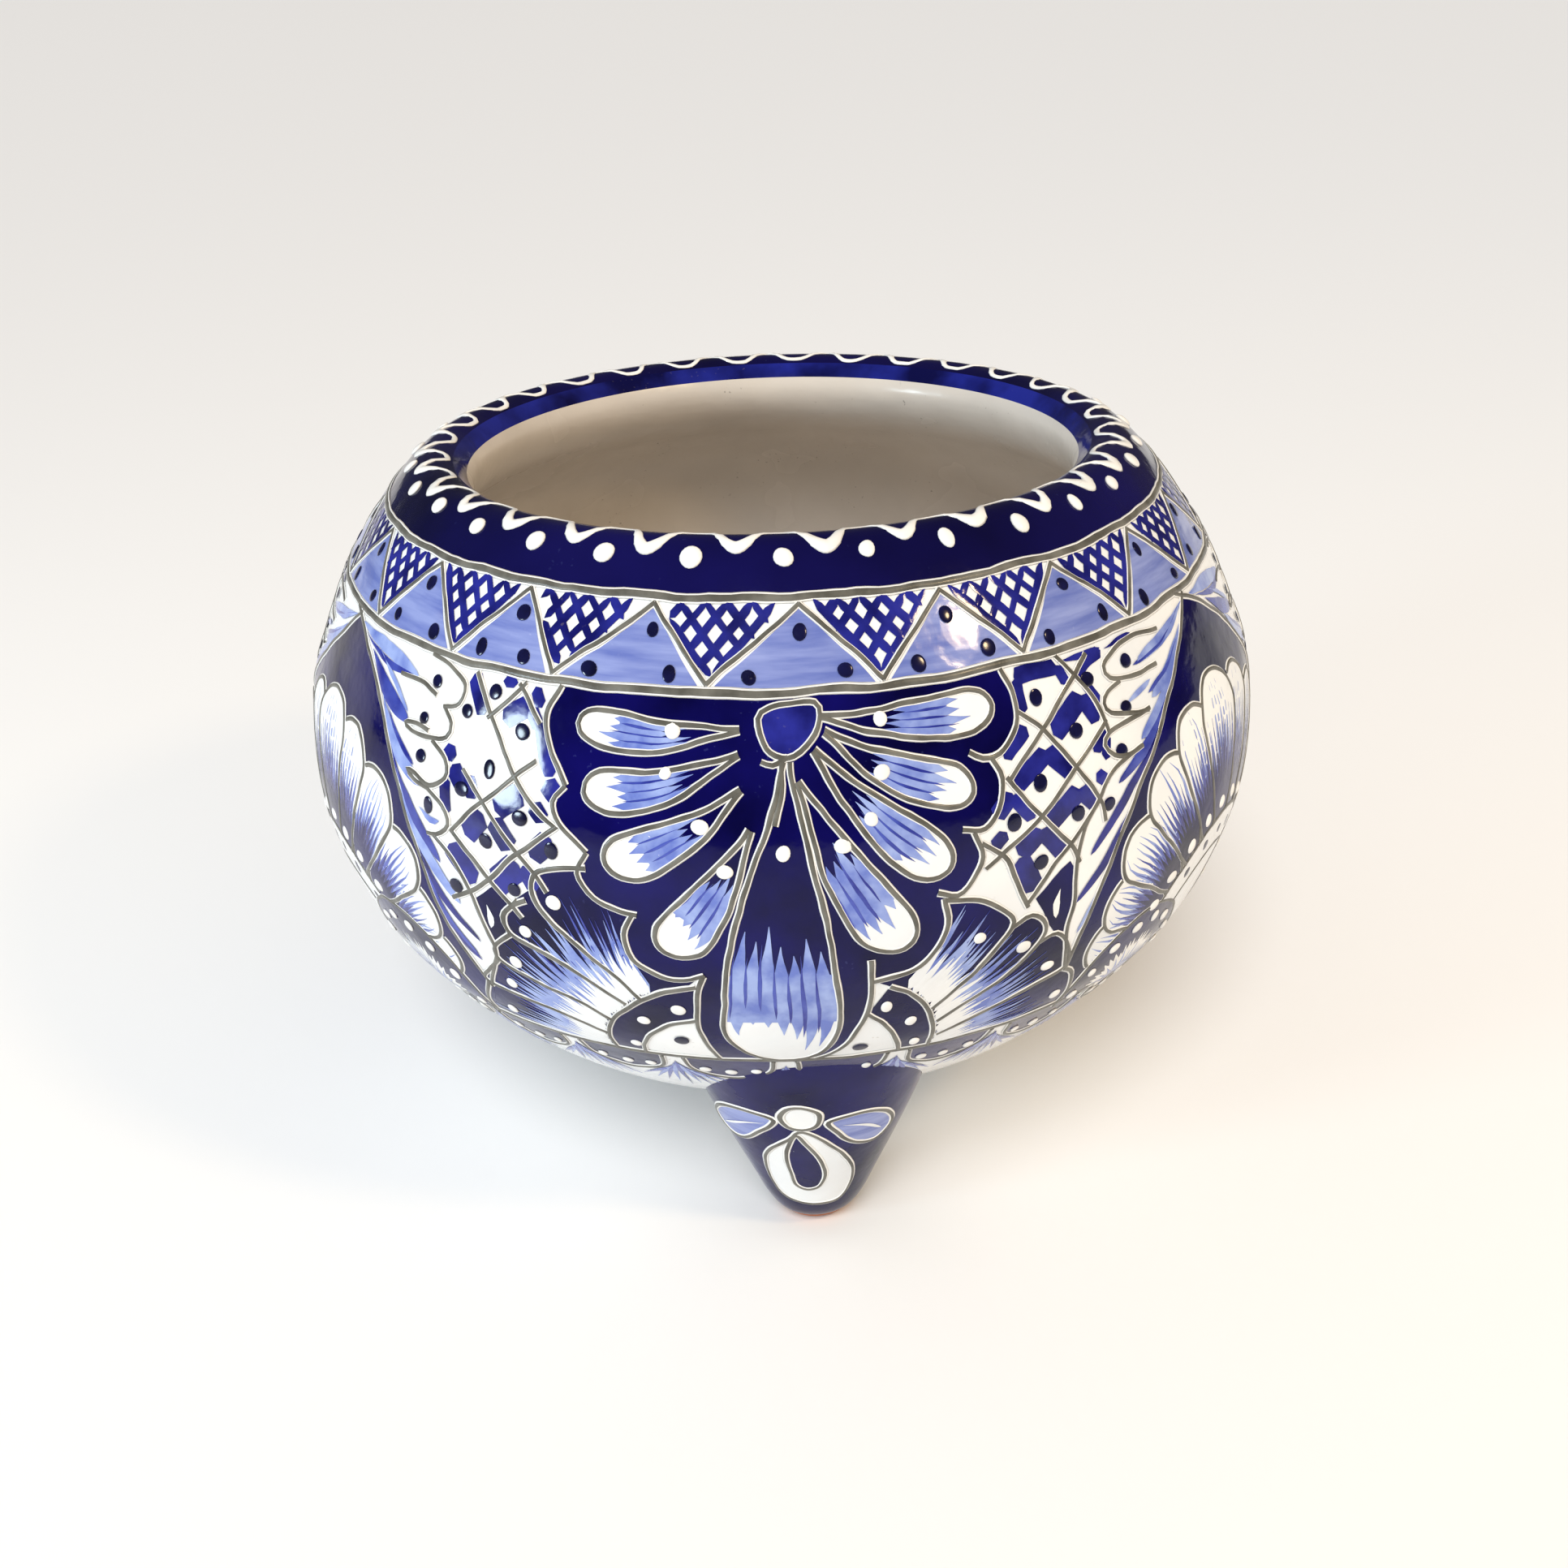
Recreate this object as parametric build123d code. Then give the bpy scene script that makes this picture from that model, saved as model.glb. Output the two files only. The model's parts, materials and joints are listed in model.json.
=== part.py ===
from build123d import *
import math
import os

# A squat, painted and glazed clay bowl on three cone feet, used as a planter or a table vase.
# The clay is built up from a bowl, a thick rolled lip and three feet, then coated in glaze.
# Frame: origin on the floor under the bowl's centre, +Z up, one foot towards -Y. Millimetres.

# Bowl and lip
belly_radius = 125.0       # widest point, with the glaze
lip_radius = 85.6          # crest of the rolled lip
lip_height = 184.6         # crest above the floor
throat_radius = 76.0       # narrowest point of the mouth
base_height = 22.5         # underside of the bowl above the floor
seam_height = 160.0        # where the lip coil is joined to the bowl
glaze_depth = 1.2          # thickness of every glaze coat
lip_glaze_edge = 175.0     # the dark lip glaze stops here, inside and outside

# Feet
foot_count = 3
foot_ring_radius = 82.5    # feet stand on this circle
foot_flattening = 0.78     # a foot is thinner along the radius than across it
foot_pad_radius = 5.0
foot_stub = 1.0            # made below the floor and cut off, so that the pad is a true plane
wiped_height = 1.5         # bare clay left at a foot's tip
foot_names = ["front", "right", "left"]

# Raised trim
dot_count = 31
dot_radius = 2.4
dot_rise = 1.2
line_width = 2.6           # foot of a raised contour line
line_crown = 1.4           # its flat top
line_rise = 0.6
line_clearance = 0.04      # keeps its straight foot just off the curved wall

# Outside of the glazed bowl from its base up to the crest, as (radius, height)
outside_points = [
    (50.0, base_height), (75.0, 31.5), (90.3, 41.8), (102.4, 54.3), (113.4, 69.5), (118.6, 79.3),
    (124.0, 97.0), (belly_radius, 112.0), (122.9, 129.4), (118.1, 141.9), (110.0, 158.8),
    (98.1, 175.0), (91.0, 182.3), (lip_radius, lip_height),
]
# Over the crest, down the throat and along the inner wall to the bowl's floor
inside_points = [
    (80.4, 183.1), (76.8, 179.0), (throat_radius, 173.5), (80.5, 166.0), (93.0, 157.5), (105.0, 147.0),
    (113.0, 132.0), (116.5, 112.0), (114.5, 93.0), (107.0, 73.0), (92.0, 55.5), (70.0, 42.0), (40.0, 34.5),
]
# One foot from its flat pad up into the bowl, as (half width, height)
foot_points = [(foot_pad_radius, 0.0), (13.4, 8.5), (17.1, 17.3), (25.0, 36.3), (32.0, 55.4), (36.0, 68.0)]

# Places of the raised trim on the outside, as (radius, height)
dot_place = outside_points[12]
upper_line_place = outside_points[11]
lower_line_place = outside_points[10]
bottom_line_place = outside_points[4]


def inset(points, depth):
    """Move a chain of points to its left by depth, which is into the clay."""
    moved = []
    last = len(points) - 1
    for i, (radius, height) in enumerate(points):
        before = points[max(i - 1, 0)]
        after = points[min(i + 1, last)]
        along_r, along_z = after[0] - before[0], after[1] - before[1]
        if i == 0 or i == last:
            along_z = 0.0
        length = math.hypot(along_r, along_z)
        moved.append((radius - depth * along_z / length, height + depth * along_r / length))
    return moved


def spun(points, start_slope, end_slope):
    """Turn a chain of points, closed to the axis at both ends, into a solid of revolution."""
    start, end = points[0], points[-1]
    curve = Spline(*points, tangents=[start_slope, end_slope])
    closing = Polyline(end, (0, end[1]), (0, start[1]), start)
    section = make_face(Plane.XZ * (curve + closing))
    return revolve(section, Axis.Z)


def pot_solid(depth):
    """The whole pot wall, its outline moved into the clay by depth."""
    return spun(inset(outside_points + inside_points, depth), (1, 0.15), (-1, -0.1))


def below(shape, height):
    """The part of a shape under a height."""
    size = 4 * belly_radius
    return shape & Pos(0, 0, height - size / 2) * Box(size, size, size)


def above(shape, height):
    """The part of a shape over a height."""
    size = 4 * belly_radius
    return shape & Pos(0, 0, height + size / 2) * Box(size, size, size)


def filled_outside(depth):
    """The bowl as one full solid without its hollow, to cut the feet back to its surface."""
    points = inset(outside_points, depth)
    return spun(points, (1, 0.15), (-1, 0))


def foot_solid(depth):
    """One foot on the Z axis, its sides moved in by depth and its tip cut off flat at the floor."""
    points = [foot_points[0]] + [(radius - depth, height) for radius, height in foot_points[1:]]
    sides = Spline(*points, tangents=[(1, 0.35), (0.25, 1)])
    top = points[-1]
    closing = Polyline(top, (0, top[1]), (0, -foot_stub), (foot_pad_radius, -foot_stub), points[0])
    section = make_face(Plane.XZ * (sides + closing))
    return above(scale(revolve(section, Axis.Z), by=(1, foot_flattening, 1)), 0)


def foot_place(index):
    """The place of a foot on its circle; the first one is at -Y and they run anticlockwise."""
    return Rot(Z=index * 360 / foot_count) * Pos(0, -foot_ring_radius, 0)


def dots(glazed):
    """Raised white dots round the lip, each a low dome."""
    ball_radius = (dot_radius ** 2 + dot_rise ** 2) / (2 * dot_rise)
    inner, outer = outside_points[13], outside_points[11]
    along_r, along_z = inner[0] - outer[0], inner[1] - outer[1]
    length = math.hypot(along_r, along_z)
    sink = ball_radius - dot_rise
    centre = (dot_place[0] - sink * along_z / length, dot_place[1] + sink * along_r / length)
    dome = Pos(0, -centre[0], centre[1]) * Sphere(ball_radius) - glazed
    return Compound(children=[Rot(Z=i * 360 / dot_count) * dome.solid() for i in range(dot_count)])


def contour_line(place, outward):
    """A raised line right round the bowl, at a place with the given outward direction."""
    length = math.hypot(*outward)
    out_r, out_z = outward[0] / length, outward[1] / length
    corners = [(-line_width / 2, 0), (line_width / 2, 0), (line_crown / 2, line_rise), (-line_crown / 2, line_rise)]
    section = []
    for along, out in corners:
        rise = out + line_clearance
        section.append((place[0] - along * out_z + rise * out_r, place[1] + along * out_r + rise * out_z))
    return revolve(make_face(Plane.XZ * Polyline(*section, close=True)), Axis.Z)


def save(shape, name):
    """Write one node."""
    export_step(shape, "parts/" + name + ".step")


os.makedirs("parts", exist_ok=True)

glazed = pot_solid(0)
clay = pot_solid(glaze_depth)
coat = glazed - clay
bowl_surface = filled_outside(0)
clay_surface = filled_outside(glaze_depth)

save(below(clay, seam_height), "clay_bowl")
save(above(clay, seam_height), "clay_lip")
save(above(coat, lip_glaze_edge), "lip_glaze")

foot_core = foot_solid(glaze_depth)
foot_skin = above(foot_solid(0) - foot_core, wiped_height)
lower_coats = below(coat, lip_glaze_edge).solids().sort_by(lambda s: s.bounding_box().max.X)
outer_coat = lower_coats[-1]
save(lower_coats[0], "inside_glaze")

for index, name in enumerate(foot_names):
    place = foot_place(index)
    outer_coat = outer_coat - place * foot_core
    save(place * foot_core - clay_surface, "foot_" + name)
    save(place * foot_skin - bowl_surface, "foot_glaze_" + name)
save(outer_coat, "outside_glaze")

save(dots(glazed), "lip_dots")
save(contour_line(upper_line_place, (0.78, 0.63)), "line_upper")
save(contour_line(lower_line_place, (0.856, 0.517)), "line_lower")
save(contour_line(bottom_line_place, (0.839, -0.544)), "line_bottom")
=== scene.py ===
import bpy
import json
import math
import random
from mathutils import Matrix, Vector, geometry

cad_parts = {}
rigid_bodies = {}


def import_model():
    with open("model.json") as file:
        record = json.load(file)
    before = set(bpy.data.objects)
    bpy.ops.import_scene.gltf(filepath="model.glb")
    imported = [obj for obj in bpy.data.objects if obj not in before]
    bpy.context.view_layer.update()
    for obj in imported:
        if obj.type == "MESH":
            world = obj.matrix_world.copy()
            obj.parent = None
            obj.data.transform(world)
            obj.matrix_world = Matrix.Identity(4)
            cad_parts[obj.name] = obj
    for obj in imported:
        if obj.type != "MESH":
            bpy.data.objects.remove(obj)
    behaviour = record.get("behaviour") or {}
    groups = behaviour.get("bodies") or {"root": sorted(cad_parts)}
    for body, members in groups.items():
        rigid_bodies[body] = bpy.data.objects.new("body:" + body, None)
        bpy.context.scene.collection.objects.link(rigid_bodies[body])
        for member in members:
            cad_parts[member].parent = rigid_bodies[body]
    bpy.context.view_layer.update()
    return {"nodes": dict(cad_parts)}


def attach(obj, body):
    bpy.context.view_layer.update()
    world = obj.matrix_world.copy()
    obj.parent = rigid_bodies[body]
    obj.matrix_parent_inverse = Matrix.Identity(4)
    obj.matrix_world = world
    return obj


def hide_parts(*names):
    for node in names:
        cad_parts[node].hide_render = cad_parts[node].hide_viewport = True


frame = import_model()

mm = 0.001
body = "root"
dice = random.Random(7)

# The painting is laid out flat, in mm: x runs round the belly to the right, and down runs along the
# wall from the first contour line under the lip. The wrap tree below bends it onto the pot.
pot = {
    "bellyRadius": 125.0,
    "coatInset": 0.75,       # the painted skin lies this far inside the CAD outline
    "sides": 3,
    "paintTurn": -3.0,       # degrees; the painting sits a little to the left of the front foot
    "lipGlazeFrom": -27.0,   # the dark glaze reaches this far over the lip and into the throat
    "throatFrom": -22.0,     # and from here inwards it is thinner and bluer
    "upperLine": 0.0,
    "lowerLine": 20.0,
    "bottomLine": 115.0,
    # half section from the middle of the inside floor, over the lip, to the middle of the base
    "section": [(0, 34.0), (40, 34.5), (70, 42), (92, 55.5), (107, 73), (114.5, 93), (116.5, 112),
                (113, 132), (105, 147), (93, 157.5), (80.5, 166), (76, 173.5), (76.8, 179), (80.4, 183.1),
                (85.6, 184.6), (91, 182.3), (98.1, 175), (110, 158.8), (118.1, 141.9), (122.9, 129.4),
                (125, 112), (124, 97), (118.6, 79.3), (113.4, 69.5), (102.4, 54.3), (90.3, 41.8),
                (75, 31.5), (50, 22.9), (0, 22.5)],
    "firstLinePoint": 16,
}
foot = {
    "ring": 82.5,
    "flattening": 0.78,
    "coatInset": 0.35,
    "girth": 20.0,           # flat mm per radian round a foot
    "section": [(35.5, 66), (32, 55.4), (25, 36.3), (17.1, 17.3), (13.4, 8.5), (10.2, 3.4), (6.2, 0.6),
                (5.2, 0.2)],
}
sidePitch = 2 * math.pi * pot["bellyRadius"] / pot["sides"]
fullTurn = sidePitch * pot["sides"]


def smoothPath(points, closed=False, step=1.4):
    # a curve through the given points, at an even spacing
    pts = [Vector((p[0], p[1])) for p in points]
    count = len(pts)
    spans = count if closed else count - 1
    path = []
    for i in range(spans):
        if closed:
            p0, p1, p2, p3 = (pts[(i + k - 1) % count] for k in range(4))
        else:
            p1, p2 = pts[i], pts[i + 1]
            p0 = pts[i - 1] if i else p1 * 2 - p2
            p3 = pts[i + 2] if i + 2 < count else p2 * 2 - p1
        pieces = max(1, round((p2 - p1).length / step))
        for k in range(pieces):
            t = k / pieces
            path.append(0.5 * ((2 * p1) + (p2 - p0) * t + (2 * p0 - 5 * p1 + 4 * p2 - p3) * t * t
                               + (3 * p1 - 3 * p2 + p3 - p0) * t ** 3))
    if not closed:
        path.append(pts[-1])
    return path


def newObject(name, data):
    made = bpy.data.objects.new(name, data)
    bpy.context.scene.collection.objects.link(made)
    return made


def newCurve(name, lines):
    # each line is its places in mm, whether it closes, and its bead's width at each place
    data = bpy.data.curves.new(name, "CURVE")
    data.dimensions = "3D"
    for places, closed, widths in lines:
        spline = data.splines.new("POLY")
        spline.points.add(len(places) - 1)
        spline.use_cyclic_u = closed
        for point, (x, y, z), width in zip(spline.points, places, widths or [1.0] * len(places)):
            point.co = (x * mm, y * mm, z * mm, 1)
            point.radius = width
    return newObject(name, data)


def guideCurve(name, section):
    # the section as a curve in the XZ plane, with its running length
    path = smoothPath(section, step=1.5)
    guide = newCurve(name, [([(place.x, 0, place.y) for place in path], False, None)])
    lengths = [0.0]
    for before, after in zip(path, path[1:]):
        lengths.append(lengths[-1] + (after - before).length)
    return guide, path, lengths


def lengthAt(path, lengths, place):
    nearest = min(range(len(path)), key=lambda i: (path[i] - Vector(place)).length)
    return lengths[nearest]


potGuide, potPath, potLengths = guideCurve("potGuide", pot["section"])
firstLine = lengthAt(potPath, potLengths, pot["section"][pot["firstLinePoint"]])
footGuide, footPath, footLengths = guideCurve("footGuide", foot["section"])


class NodeKit:
    # short calls for adding nodes to a tree; the keyword i3 means the socket numbered 3
    def __init__(self, tree):
        self.tree = tree

    def add(self, kind, settings=None, **values):
        node = self.tree.nodes.new(kind)
        for key, value in (settings or {}).items():
            setattr(node, key, value)
        for key, value in values.items():
            self.put(node, key.replace("_", " "), value)
        return node

    def put(self, node, key, value):
        socket = node.inputs[int(key[1:])] if key[1:].isdigit() else node.inputs[key]
        if isinstance(value, bpy.types.NodeSocket):
            self.tree.links.new(value, socket)
        else:
            socket.default_value = value

    def math(self, operation, first, second=0.0):
        return self.add("ShaderNodeMath", {"operation": operation}, i0=first, i1=second).outputs[0]

    def times(self, first, second):
        return self.math("MULTIPLY", first, second)

    def plus(self, first, second):
        return self.math("ADD", first, second)

    def minus(self, first, second):
        return self.math("SUBTRACT", first, second)

    def vector(self, x=0.0, y=0.0, z=0.0):
        return self.add("ShaderNodeCombineXYZ", X=x, Y=y, Z=z).outputs[0]

    def parts(self, vector):
        return self.add("ShaderNodeSeparateXYZ", Vector=vector).outputs

    def blend(self, factor, first, second):
        return self.add("ShaderNodeMix", i0=factor, i2=first, i3=second).outputs[0]

    def blendColour(self, factor, first, second):
        return self.add("ShaderNodeMix", {"data_type": "RGBA"}, i0=factor, i6=first, i7=second).outputs[2]


def makeGroup(name, inputs, outputs=(("Geometry", "Geometry"),), kind="GeometryNodeTree"):
    m = NodeKit(bpy.data.node_groups.new(name, kind))
    m.ids = {}
    for label, socket, value in inputs:
        item = m.tree.interface.new_socket(label, in_out="INPUT", socket_type="NodeSocket" + socket)
        m.ids[label] = item.identifier
        if value is not None:
            item.default_value = value
    for label, socket in outputs:
        m.tree.interface.new_socket(label, in_out="OUTPUT", socket_type="NodeSocket" + socket)
    m.source = m.tree.nodes.new("NodeGroupInput").outputs
    m.end = m.tree.nodes.new("NodeGroupOutput")
    return m


def makeWrapTree():
    m = makeGroup("wrapOnPot", [
        ("Geometry", "Geometry", None), ("Guide", "Object", None), ("Material", "Material", None),
        ("Belly Radius", "Float", 0.125), ("First Length", "Float", 0.0), ("Inset", "Float", 0.0007),
        ("Flattening", "Float", 1.0), ("Ring", "Float", 0.0), ("Flat Copies", "Int", 1),
        ("Pitch", "Float", 0.1), ("Turned Copies", "Int", 1), ("Wobble", "Float", 0.0006),
        ("Seed", "Float", 3.0), ("Turn", "Float", 0.0),
    ])
    source = m.source
    belly = source["Belly Radius"]
    # copies side by side in the flat layout
    line = m.add("GeometryNodeMeshLine", Count=source["Flat Copies"], Offset=m.vector(source["Pitch"]))
    copies = m.add("GeometryNodeInstanceOnPoints", Points=line.outputs[0], Instance=source["Geometry"])
    real = m.add("GeometryNodeRealizeInstances", Geometry=copies.outputs[0])
    place = m.parts(m.add("GeometryNodeInputPosition").outputs[0])
    turn = m.math("DIVIDE", place[0], belly)
    around = m.vector(m.times(m.math("SINE", turn), belly), m.times(m.math("COSINE", turn), belly),
                      place[1])
    # a hand's wobble that closes round the pot
    noise = m.add("ShaderNodeTexNoise", {"noise_dimensions": "4D"}, Vector=around, W=source["Seed"],
                  Scale=70.0, Detail=2.0)
    shake = m.parts(noise.outputs["Color"])
    sway, rise = (m.times(m.minus(shake[k], 0.5), m.times(source["Wobble"], 4.0)) for k in (0, 1))
    angle = m.plus(m.math("DIVIDE", m.plus(place[0], sway), belly), source["Turn"])
    length = m.minus(source["First Length"], m.plus(place[1], rise))
    guide = m.add("GeometryNodeObjectInfo", Object=source["Guide"]).outputs["Geometry"]
    sample = m.add("GeometryNodeSampleCurve", {"mode": "LENGTH"}, Curves=guide, Length=length)
    spot = m.parts(sample.outputs["Position"])
    tangent = m.parts(sample.outputs["Tangent"])
    lift = m.minus(place[2], source["Inset"])
    radius = m.minus(spot[0], m.times(tangent[2], lift))
    height = m.plus(spot[2], m.times(tangent[0], lift))
    reach = m.times(m.times(radius, m.math("COSINE", angle)), source["Flattening"])
    bent = m.vector(m.times(radius, m.math("SINE", angle)), m.minus(m.times(reach, -1.0), source["Ring"]),
                    height)
    setPlace = m.add("GeometryNodeSetPosition", Geometry=real.outputs[0], Position=bent)
    # copies turned about the pot's axis
    points = m.add("GeometryNodeMeshLine", Count=source["Turned Copies"], Offset=(0, 0, 0))
    index = m.add("GeometryNodeInputIndex").outputs[0]
    step = m.math("DIVIDE", m.times(index, 2 * math.pi), source["Turned Copies"])
    last = m.add("GeometryNodeInstanceOnPoints", Points=points.outputs[0], Instance=setPlace.outputs[0],
                 Rotation=m.vector(z=step))
    for kind, values in (("RealizeInstances", {}), ("MergeByDistance", {"Distance": 0.000002}),
                         ("SetShadeSmooth", {}), ("SetMaterial", {"Material": source["Material"]})):
        last = m.add("GeometryNode" + kind, Geometry=last.outputs[0], **values)
    m.put(m.end, "Geometry", last.outputs[0])
    return m


def makeTrailTree():
    # a trailed line: an oval bead along flat curves, its width shaking a little
    m = makeGroup("trailedLine", [
        ("Geometry", "Geometry", None), ("Width", "Float", 0.002), ("Height", "Float", 0.0006),
        ("Sides", "Int", 8),
        ("Lift", "Float", 0.0003), ("Unevenness", "Float", 0.35), ("Seed", "Float", 5.0),
    ])
    source = m.source
    noise = m.add("ShaderNodeTexNoise", {"noise_dimensions": "4D"}, W=source["Seed"], Scale=160.0,
                  Detail=1.0,
                  Vector=m.add("GeometryNodeInputPosition").outputs[0])
    shake = m.times(m.minus(noise.outputs[0], 0.5), source["Unevenness"])
    swell = m.times(m.add("GeometryNodeInputRadius").outputs[0], m.plus(shake, 1.0))
    level = m.add("GeometryNodeSetCurveNormal", {"mode": "Z_UP"}, Curve=source["Geometry"])
    ring = m.add("GeometryNodeCurvePrimitiveCircle", Resolution=source["Sides"], Radius=0.5)
    oval = m.add("GeometryNodeTransform", Geometry=ring.outputs[0],
                 Scale=m.vector(source["Width"], source["Height"], 1.0))
    tube = m.add("GeometryNodeCurveToMesh", Curve=level.outputs[0], Profile_Curve=oval.outputs[0],
                 Fill_Caps=True, Scale=swell)
    raised = m.add("GeometryNodeSetPosition", Geometry=tube.outputs[0], Offset=m.vector(z=source["Lift"]))
    m.put(m.end, "Geometry", raised.outputs[0])
    return m


def makeDotTree():
    # domes on the layout's points, each a little different
    m = makeGroup("raisedDots", [
        ("Geometry", "Geometry", None), ("Radius", "Float", 0.0015), ("Rise", "Float", 0.5),
        ("Stretch", "Float", 1.0), ("Lift", "Float", 0.0003), ("Unevenness", "Float", 0.16),
        ("Seed", "Int", 4),
    ])
    source = m.source
    ball = m.add("GeometryNodeMeshUVSphere", Segments=16, Rings=8, Radius=source["Radius"])
    dome = m.add("GeometryNodeTransform", Geometry=ball.outputs[0],
                 Scale=m.vector(source["Stretch"], 1.0, source["Rise"]))
    own = m.add("GeometryNodeInputNamedAttribute", {"data_type": "FLOAT"}, Name="size")
    shake = m.add("FunctionNodeRandomValue", {"data_type": "FLOAT_VECTOR"}, Seed=source["Seed"],
                  i0=(-1.0, -1.0, 0.0), i1=(1.0, 1.0, 0.0))
    vary = m.add("ShaderNodeVectorMath", {"operation": "SCALE"}, i0=shake.outputs[0],
                 Scale=source["Unevenness"])
    whole = m.add("ShaderNodeVectorMath", {"operation": "ADD"}, i0=vary.outputs[0], i1=(1.0, 1.0, 1.0))
    sized = m.add("ShaderNodeVectorMath", {"operation": "SCALE"}, i0=whole.outputs[0], Scale=own.outputs[0])
    put = m.add("GeometryNodeInstanceOnPoints", Points=source["Geometry"], Instance=dome.outputs[0],
                Scale=sized.outputs[0])
    real = m.add("GeometryNodeRealizeInstances", Geometry=put.outputs[0])
    raised = m.add("GeometryNodeSetPosition", Geometry=real.outputs[0], Offset=m.vector(z=source["Lift"]))
    m.put(m.end, "Geometry", raised.outputs[0])
    return m


wrapTree = makeWrapTree()
trailTree = makeTrailTree()
dotTree = makeDotTree()
print("node trees ready")


def useTree(piece, maker, values):
    step = piece.modifiers.new(maker.tree.name, "NODES")
    step.node_group = maker.tree
    for label, value in values.items():
        step[maker.ids[label]] = value


def wrapValues(onFoot=False, **more):
    values = {"Guide": potGuide, "Belly Radius": pot["bellyRadius"] * mm, "First Length": firstLine * mm,
              "Inset": pot["coatInset"] * mm, "Flat Copies": pot["sides"], "Pitch": sidePitch * mm,
              "Turn": math.radians(pot["paintTurn"])}
    if onFoot:
        values.update({"Guide": footGuide, "Belly Radius": foot["girth"] * mm, "First Length": 0.0,
                       "Flattening": foot["flattening"], "Ring": foot["ring"] * mm, "Flat Copies": 1,
                       "Inset": foot["coatInset"] * mm, "Turn": 0.0,
                       "Turned Copies": pot["sides"]})
    values.update(more)
    return values


def finishPiece(piece, glazeName, replaced=(), onFoot=False, **wrap):
    # the evaluated trees become a plain mesh, and the working object goes
    useTree(piece, wrapTree, wrapValues(onFoot, Material=bpy.data.materials[glazeName], **wrap))
    depsgraph = bpy.context.evaluated_depsgraph_get()
    mesh = bpy.data.meshes.new_from_object(piece.evaluated_get(depsgraph), depsgraph=depsgraph)
    name = piece.name
    bpy.data.objects.remove(piece)
    mesh.name = name
    done = newObject(name, mesh)
    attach(done, body)
    if replaced:
        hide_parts(*replaced)
    print("  piece", name, len(mesh.polygons), "faces")


def flatMesh(name, verts, faces):
    mesh = bpy.data.meshes.new(name)
    mesh.from_pydata([(x * mm, -down * mm, lift * mm) for x, down, lift in verts], [], faces)
    return newObject(name, mesh)


def lookValues(look):
    # sizes are in mm and the rest are plain factors
    sizes = ("width", "height", "radius", "lift")
    return {key.title(): value * mm if key in sizes else value for key, value in look.items()}


def addTrails(name, trails, glazeName, look, replaced=(), **wrap):
    # trails are (points, closed) or (points, closed, widths)
    lines = [([(p[0], -p[1], 0) for p in trail[0]], trail[1], trail[2] if len(trail) > 2 else None)
             for trail in trails]
    piece = newCurve(name, lines)
    useTree(piece, trailTree, lookValues(look))
    finishPiece(piece, glazeName, replaced, **wrap)


def addDots(name, dots, glazeName, look, replaced=(), **wrap):
    # dots are (x, down, size)
    piece = flatMesh(name, [(x, down, 0) for x, down, size in dots], [])
    sizes = piece.data.attributes.new("size", "FLOAT", "POINT")
    for item, dot in zip(sizes.data, dots):
        item.value = dot[2]
    useTree(piece, dotTree, lookValues(look))
    finishPiece(piece, glazeName, replaced, **wrap)


class Sheet:
    # collects flat faces of one glaze colour
    edgeGap = 0.4            # inner points keep this share of their spacing from the outline
    finest = 0.03            # no stroke gets thinner than this share of its width

    def __init__(self):
        self.verts = []
        self.faces = []

    def fill(self, outline, lift, spacing=5.0):
        # a closed outline filled with triangles, with inner points so that it can bend
        corners = [Vector((p[0], p[1])) for p in outline]
        edge = []
        for start, stop in zip(corners, corners[1:] + corners[:1]):
            parts = max(1, math.ceil((stop - start).length / spacing))
            edge += [start.lerp(stop, k / parts) for k in range(parts)]
        xs, ys = [p.x for p in edge], [p.y for p in edge]
        inner = []
        x = min(xs) + spacing / 2
        while x < max(xs):
            y = min(ys) + spacing / 2
            while y < max(ys):
                spot = Vector((x, y))
                gap = min((spot - e).length for e in edge) if insideOutline(spot, edge) else 0.0
                if gap > spacing * self.edgeGap:
                    inner.append(spot)
                y += spacing
            x += spacing
        rim = [(i, (i + 1) % len(edge)) for i in range(len(edge))]
        got = geometry.delaunay_2d_cdt(edge + inner, rim, [list(range(len(edge)))], 1, 1e-5)
        base = len(self.verts)
        self.verts += [(v.x, v.y, lift) for v in got[0]]
        for face in got[2]:
            a, b, c = (got[0][k] for k in face[:3])
            turn = (b - a).x * (c - a).y - (b - a).y * (c - a).x
            order = list(face) if turn < 0 else list(reversed(face))
            self.faces.append([base + k for k in order])

    def stroke(self, path, width, lift, crown=0.06, tail=0.15, head=0.5):
        # one brush stroke: pointed at its start, rounder at its end, and slightly crowned
        base = len(self.verts)
        last = len(path) - 1
        for i, place in enumerate(path):
            before, after = path[max(i - 1, 0)], path[min(i + 1, last)]
            across = Vector((after[1] - before[1], before[0] - after[0]))
            across = across.normalized() if across.length else Vector((1, 0))
            t = i / last
            full = t / tail if t < tail else 1.0
            if t > 1 - head:
                full *= math.sqrt(max(0.0, 1 - ((t - 1 + head) / head) ** 2))
            half = width / 2 * max(full, self.finest)
            for side, rise in ((-1, 0.0), (0, crown), (1, 0.0)):
                x, down = place[0] + across.x * half * side, place[1] + across.y * half * side
                self.verts.append((x, down, lift + rise))
        for i in range(last):
            for k in (0, 1):
                a = base + i * 3 + k
                self.faces.append([a, a + 1, a + 4, a + 3])

    def piece(self, name, glazeName, **wrap):
        finishPiece(flatMesh(name, self.verts, self.faces), glazeName, **wrap)


def insideOutline(spot, edge):
    inside = False
    for a, b in zip(edge, edge[1:] + edge[:1]):
        if (a.y > spot.y) != (b.y > spot.y):
            if spot.x < (b.x - a.x) * (spot.y - a.y) / (b.y - a.y) + a.x:
                inside = not inside
    return inside


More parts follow.
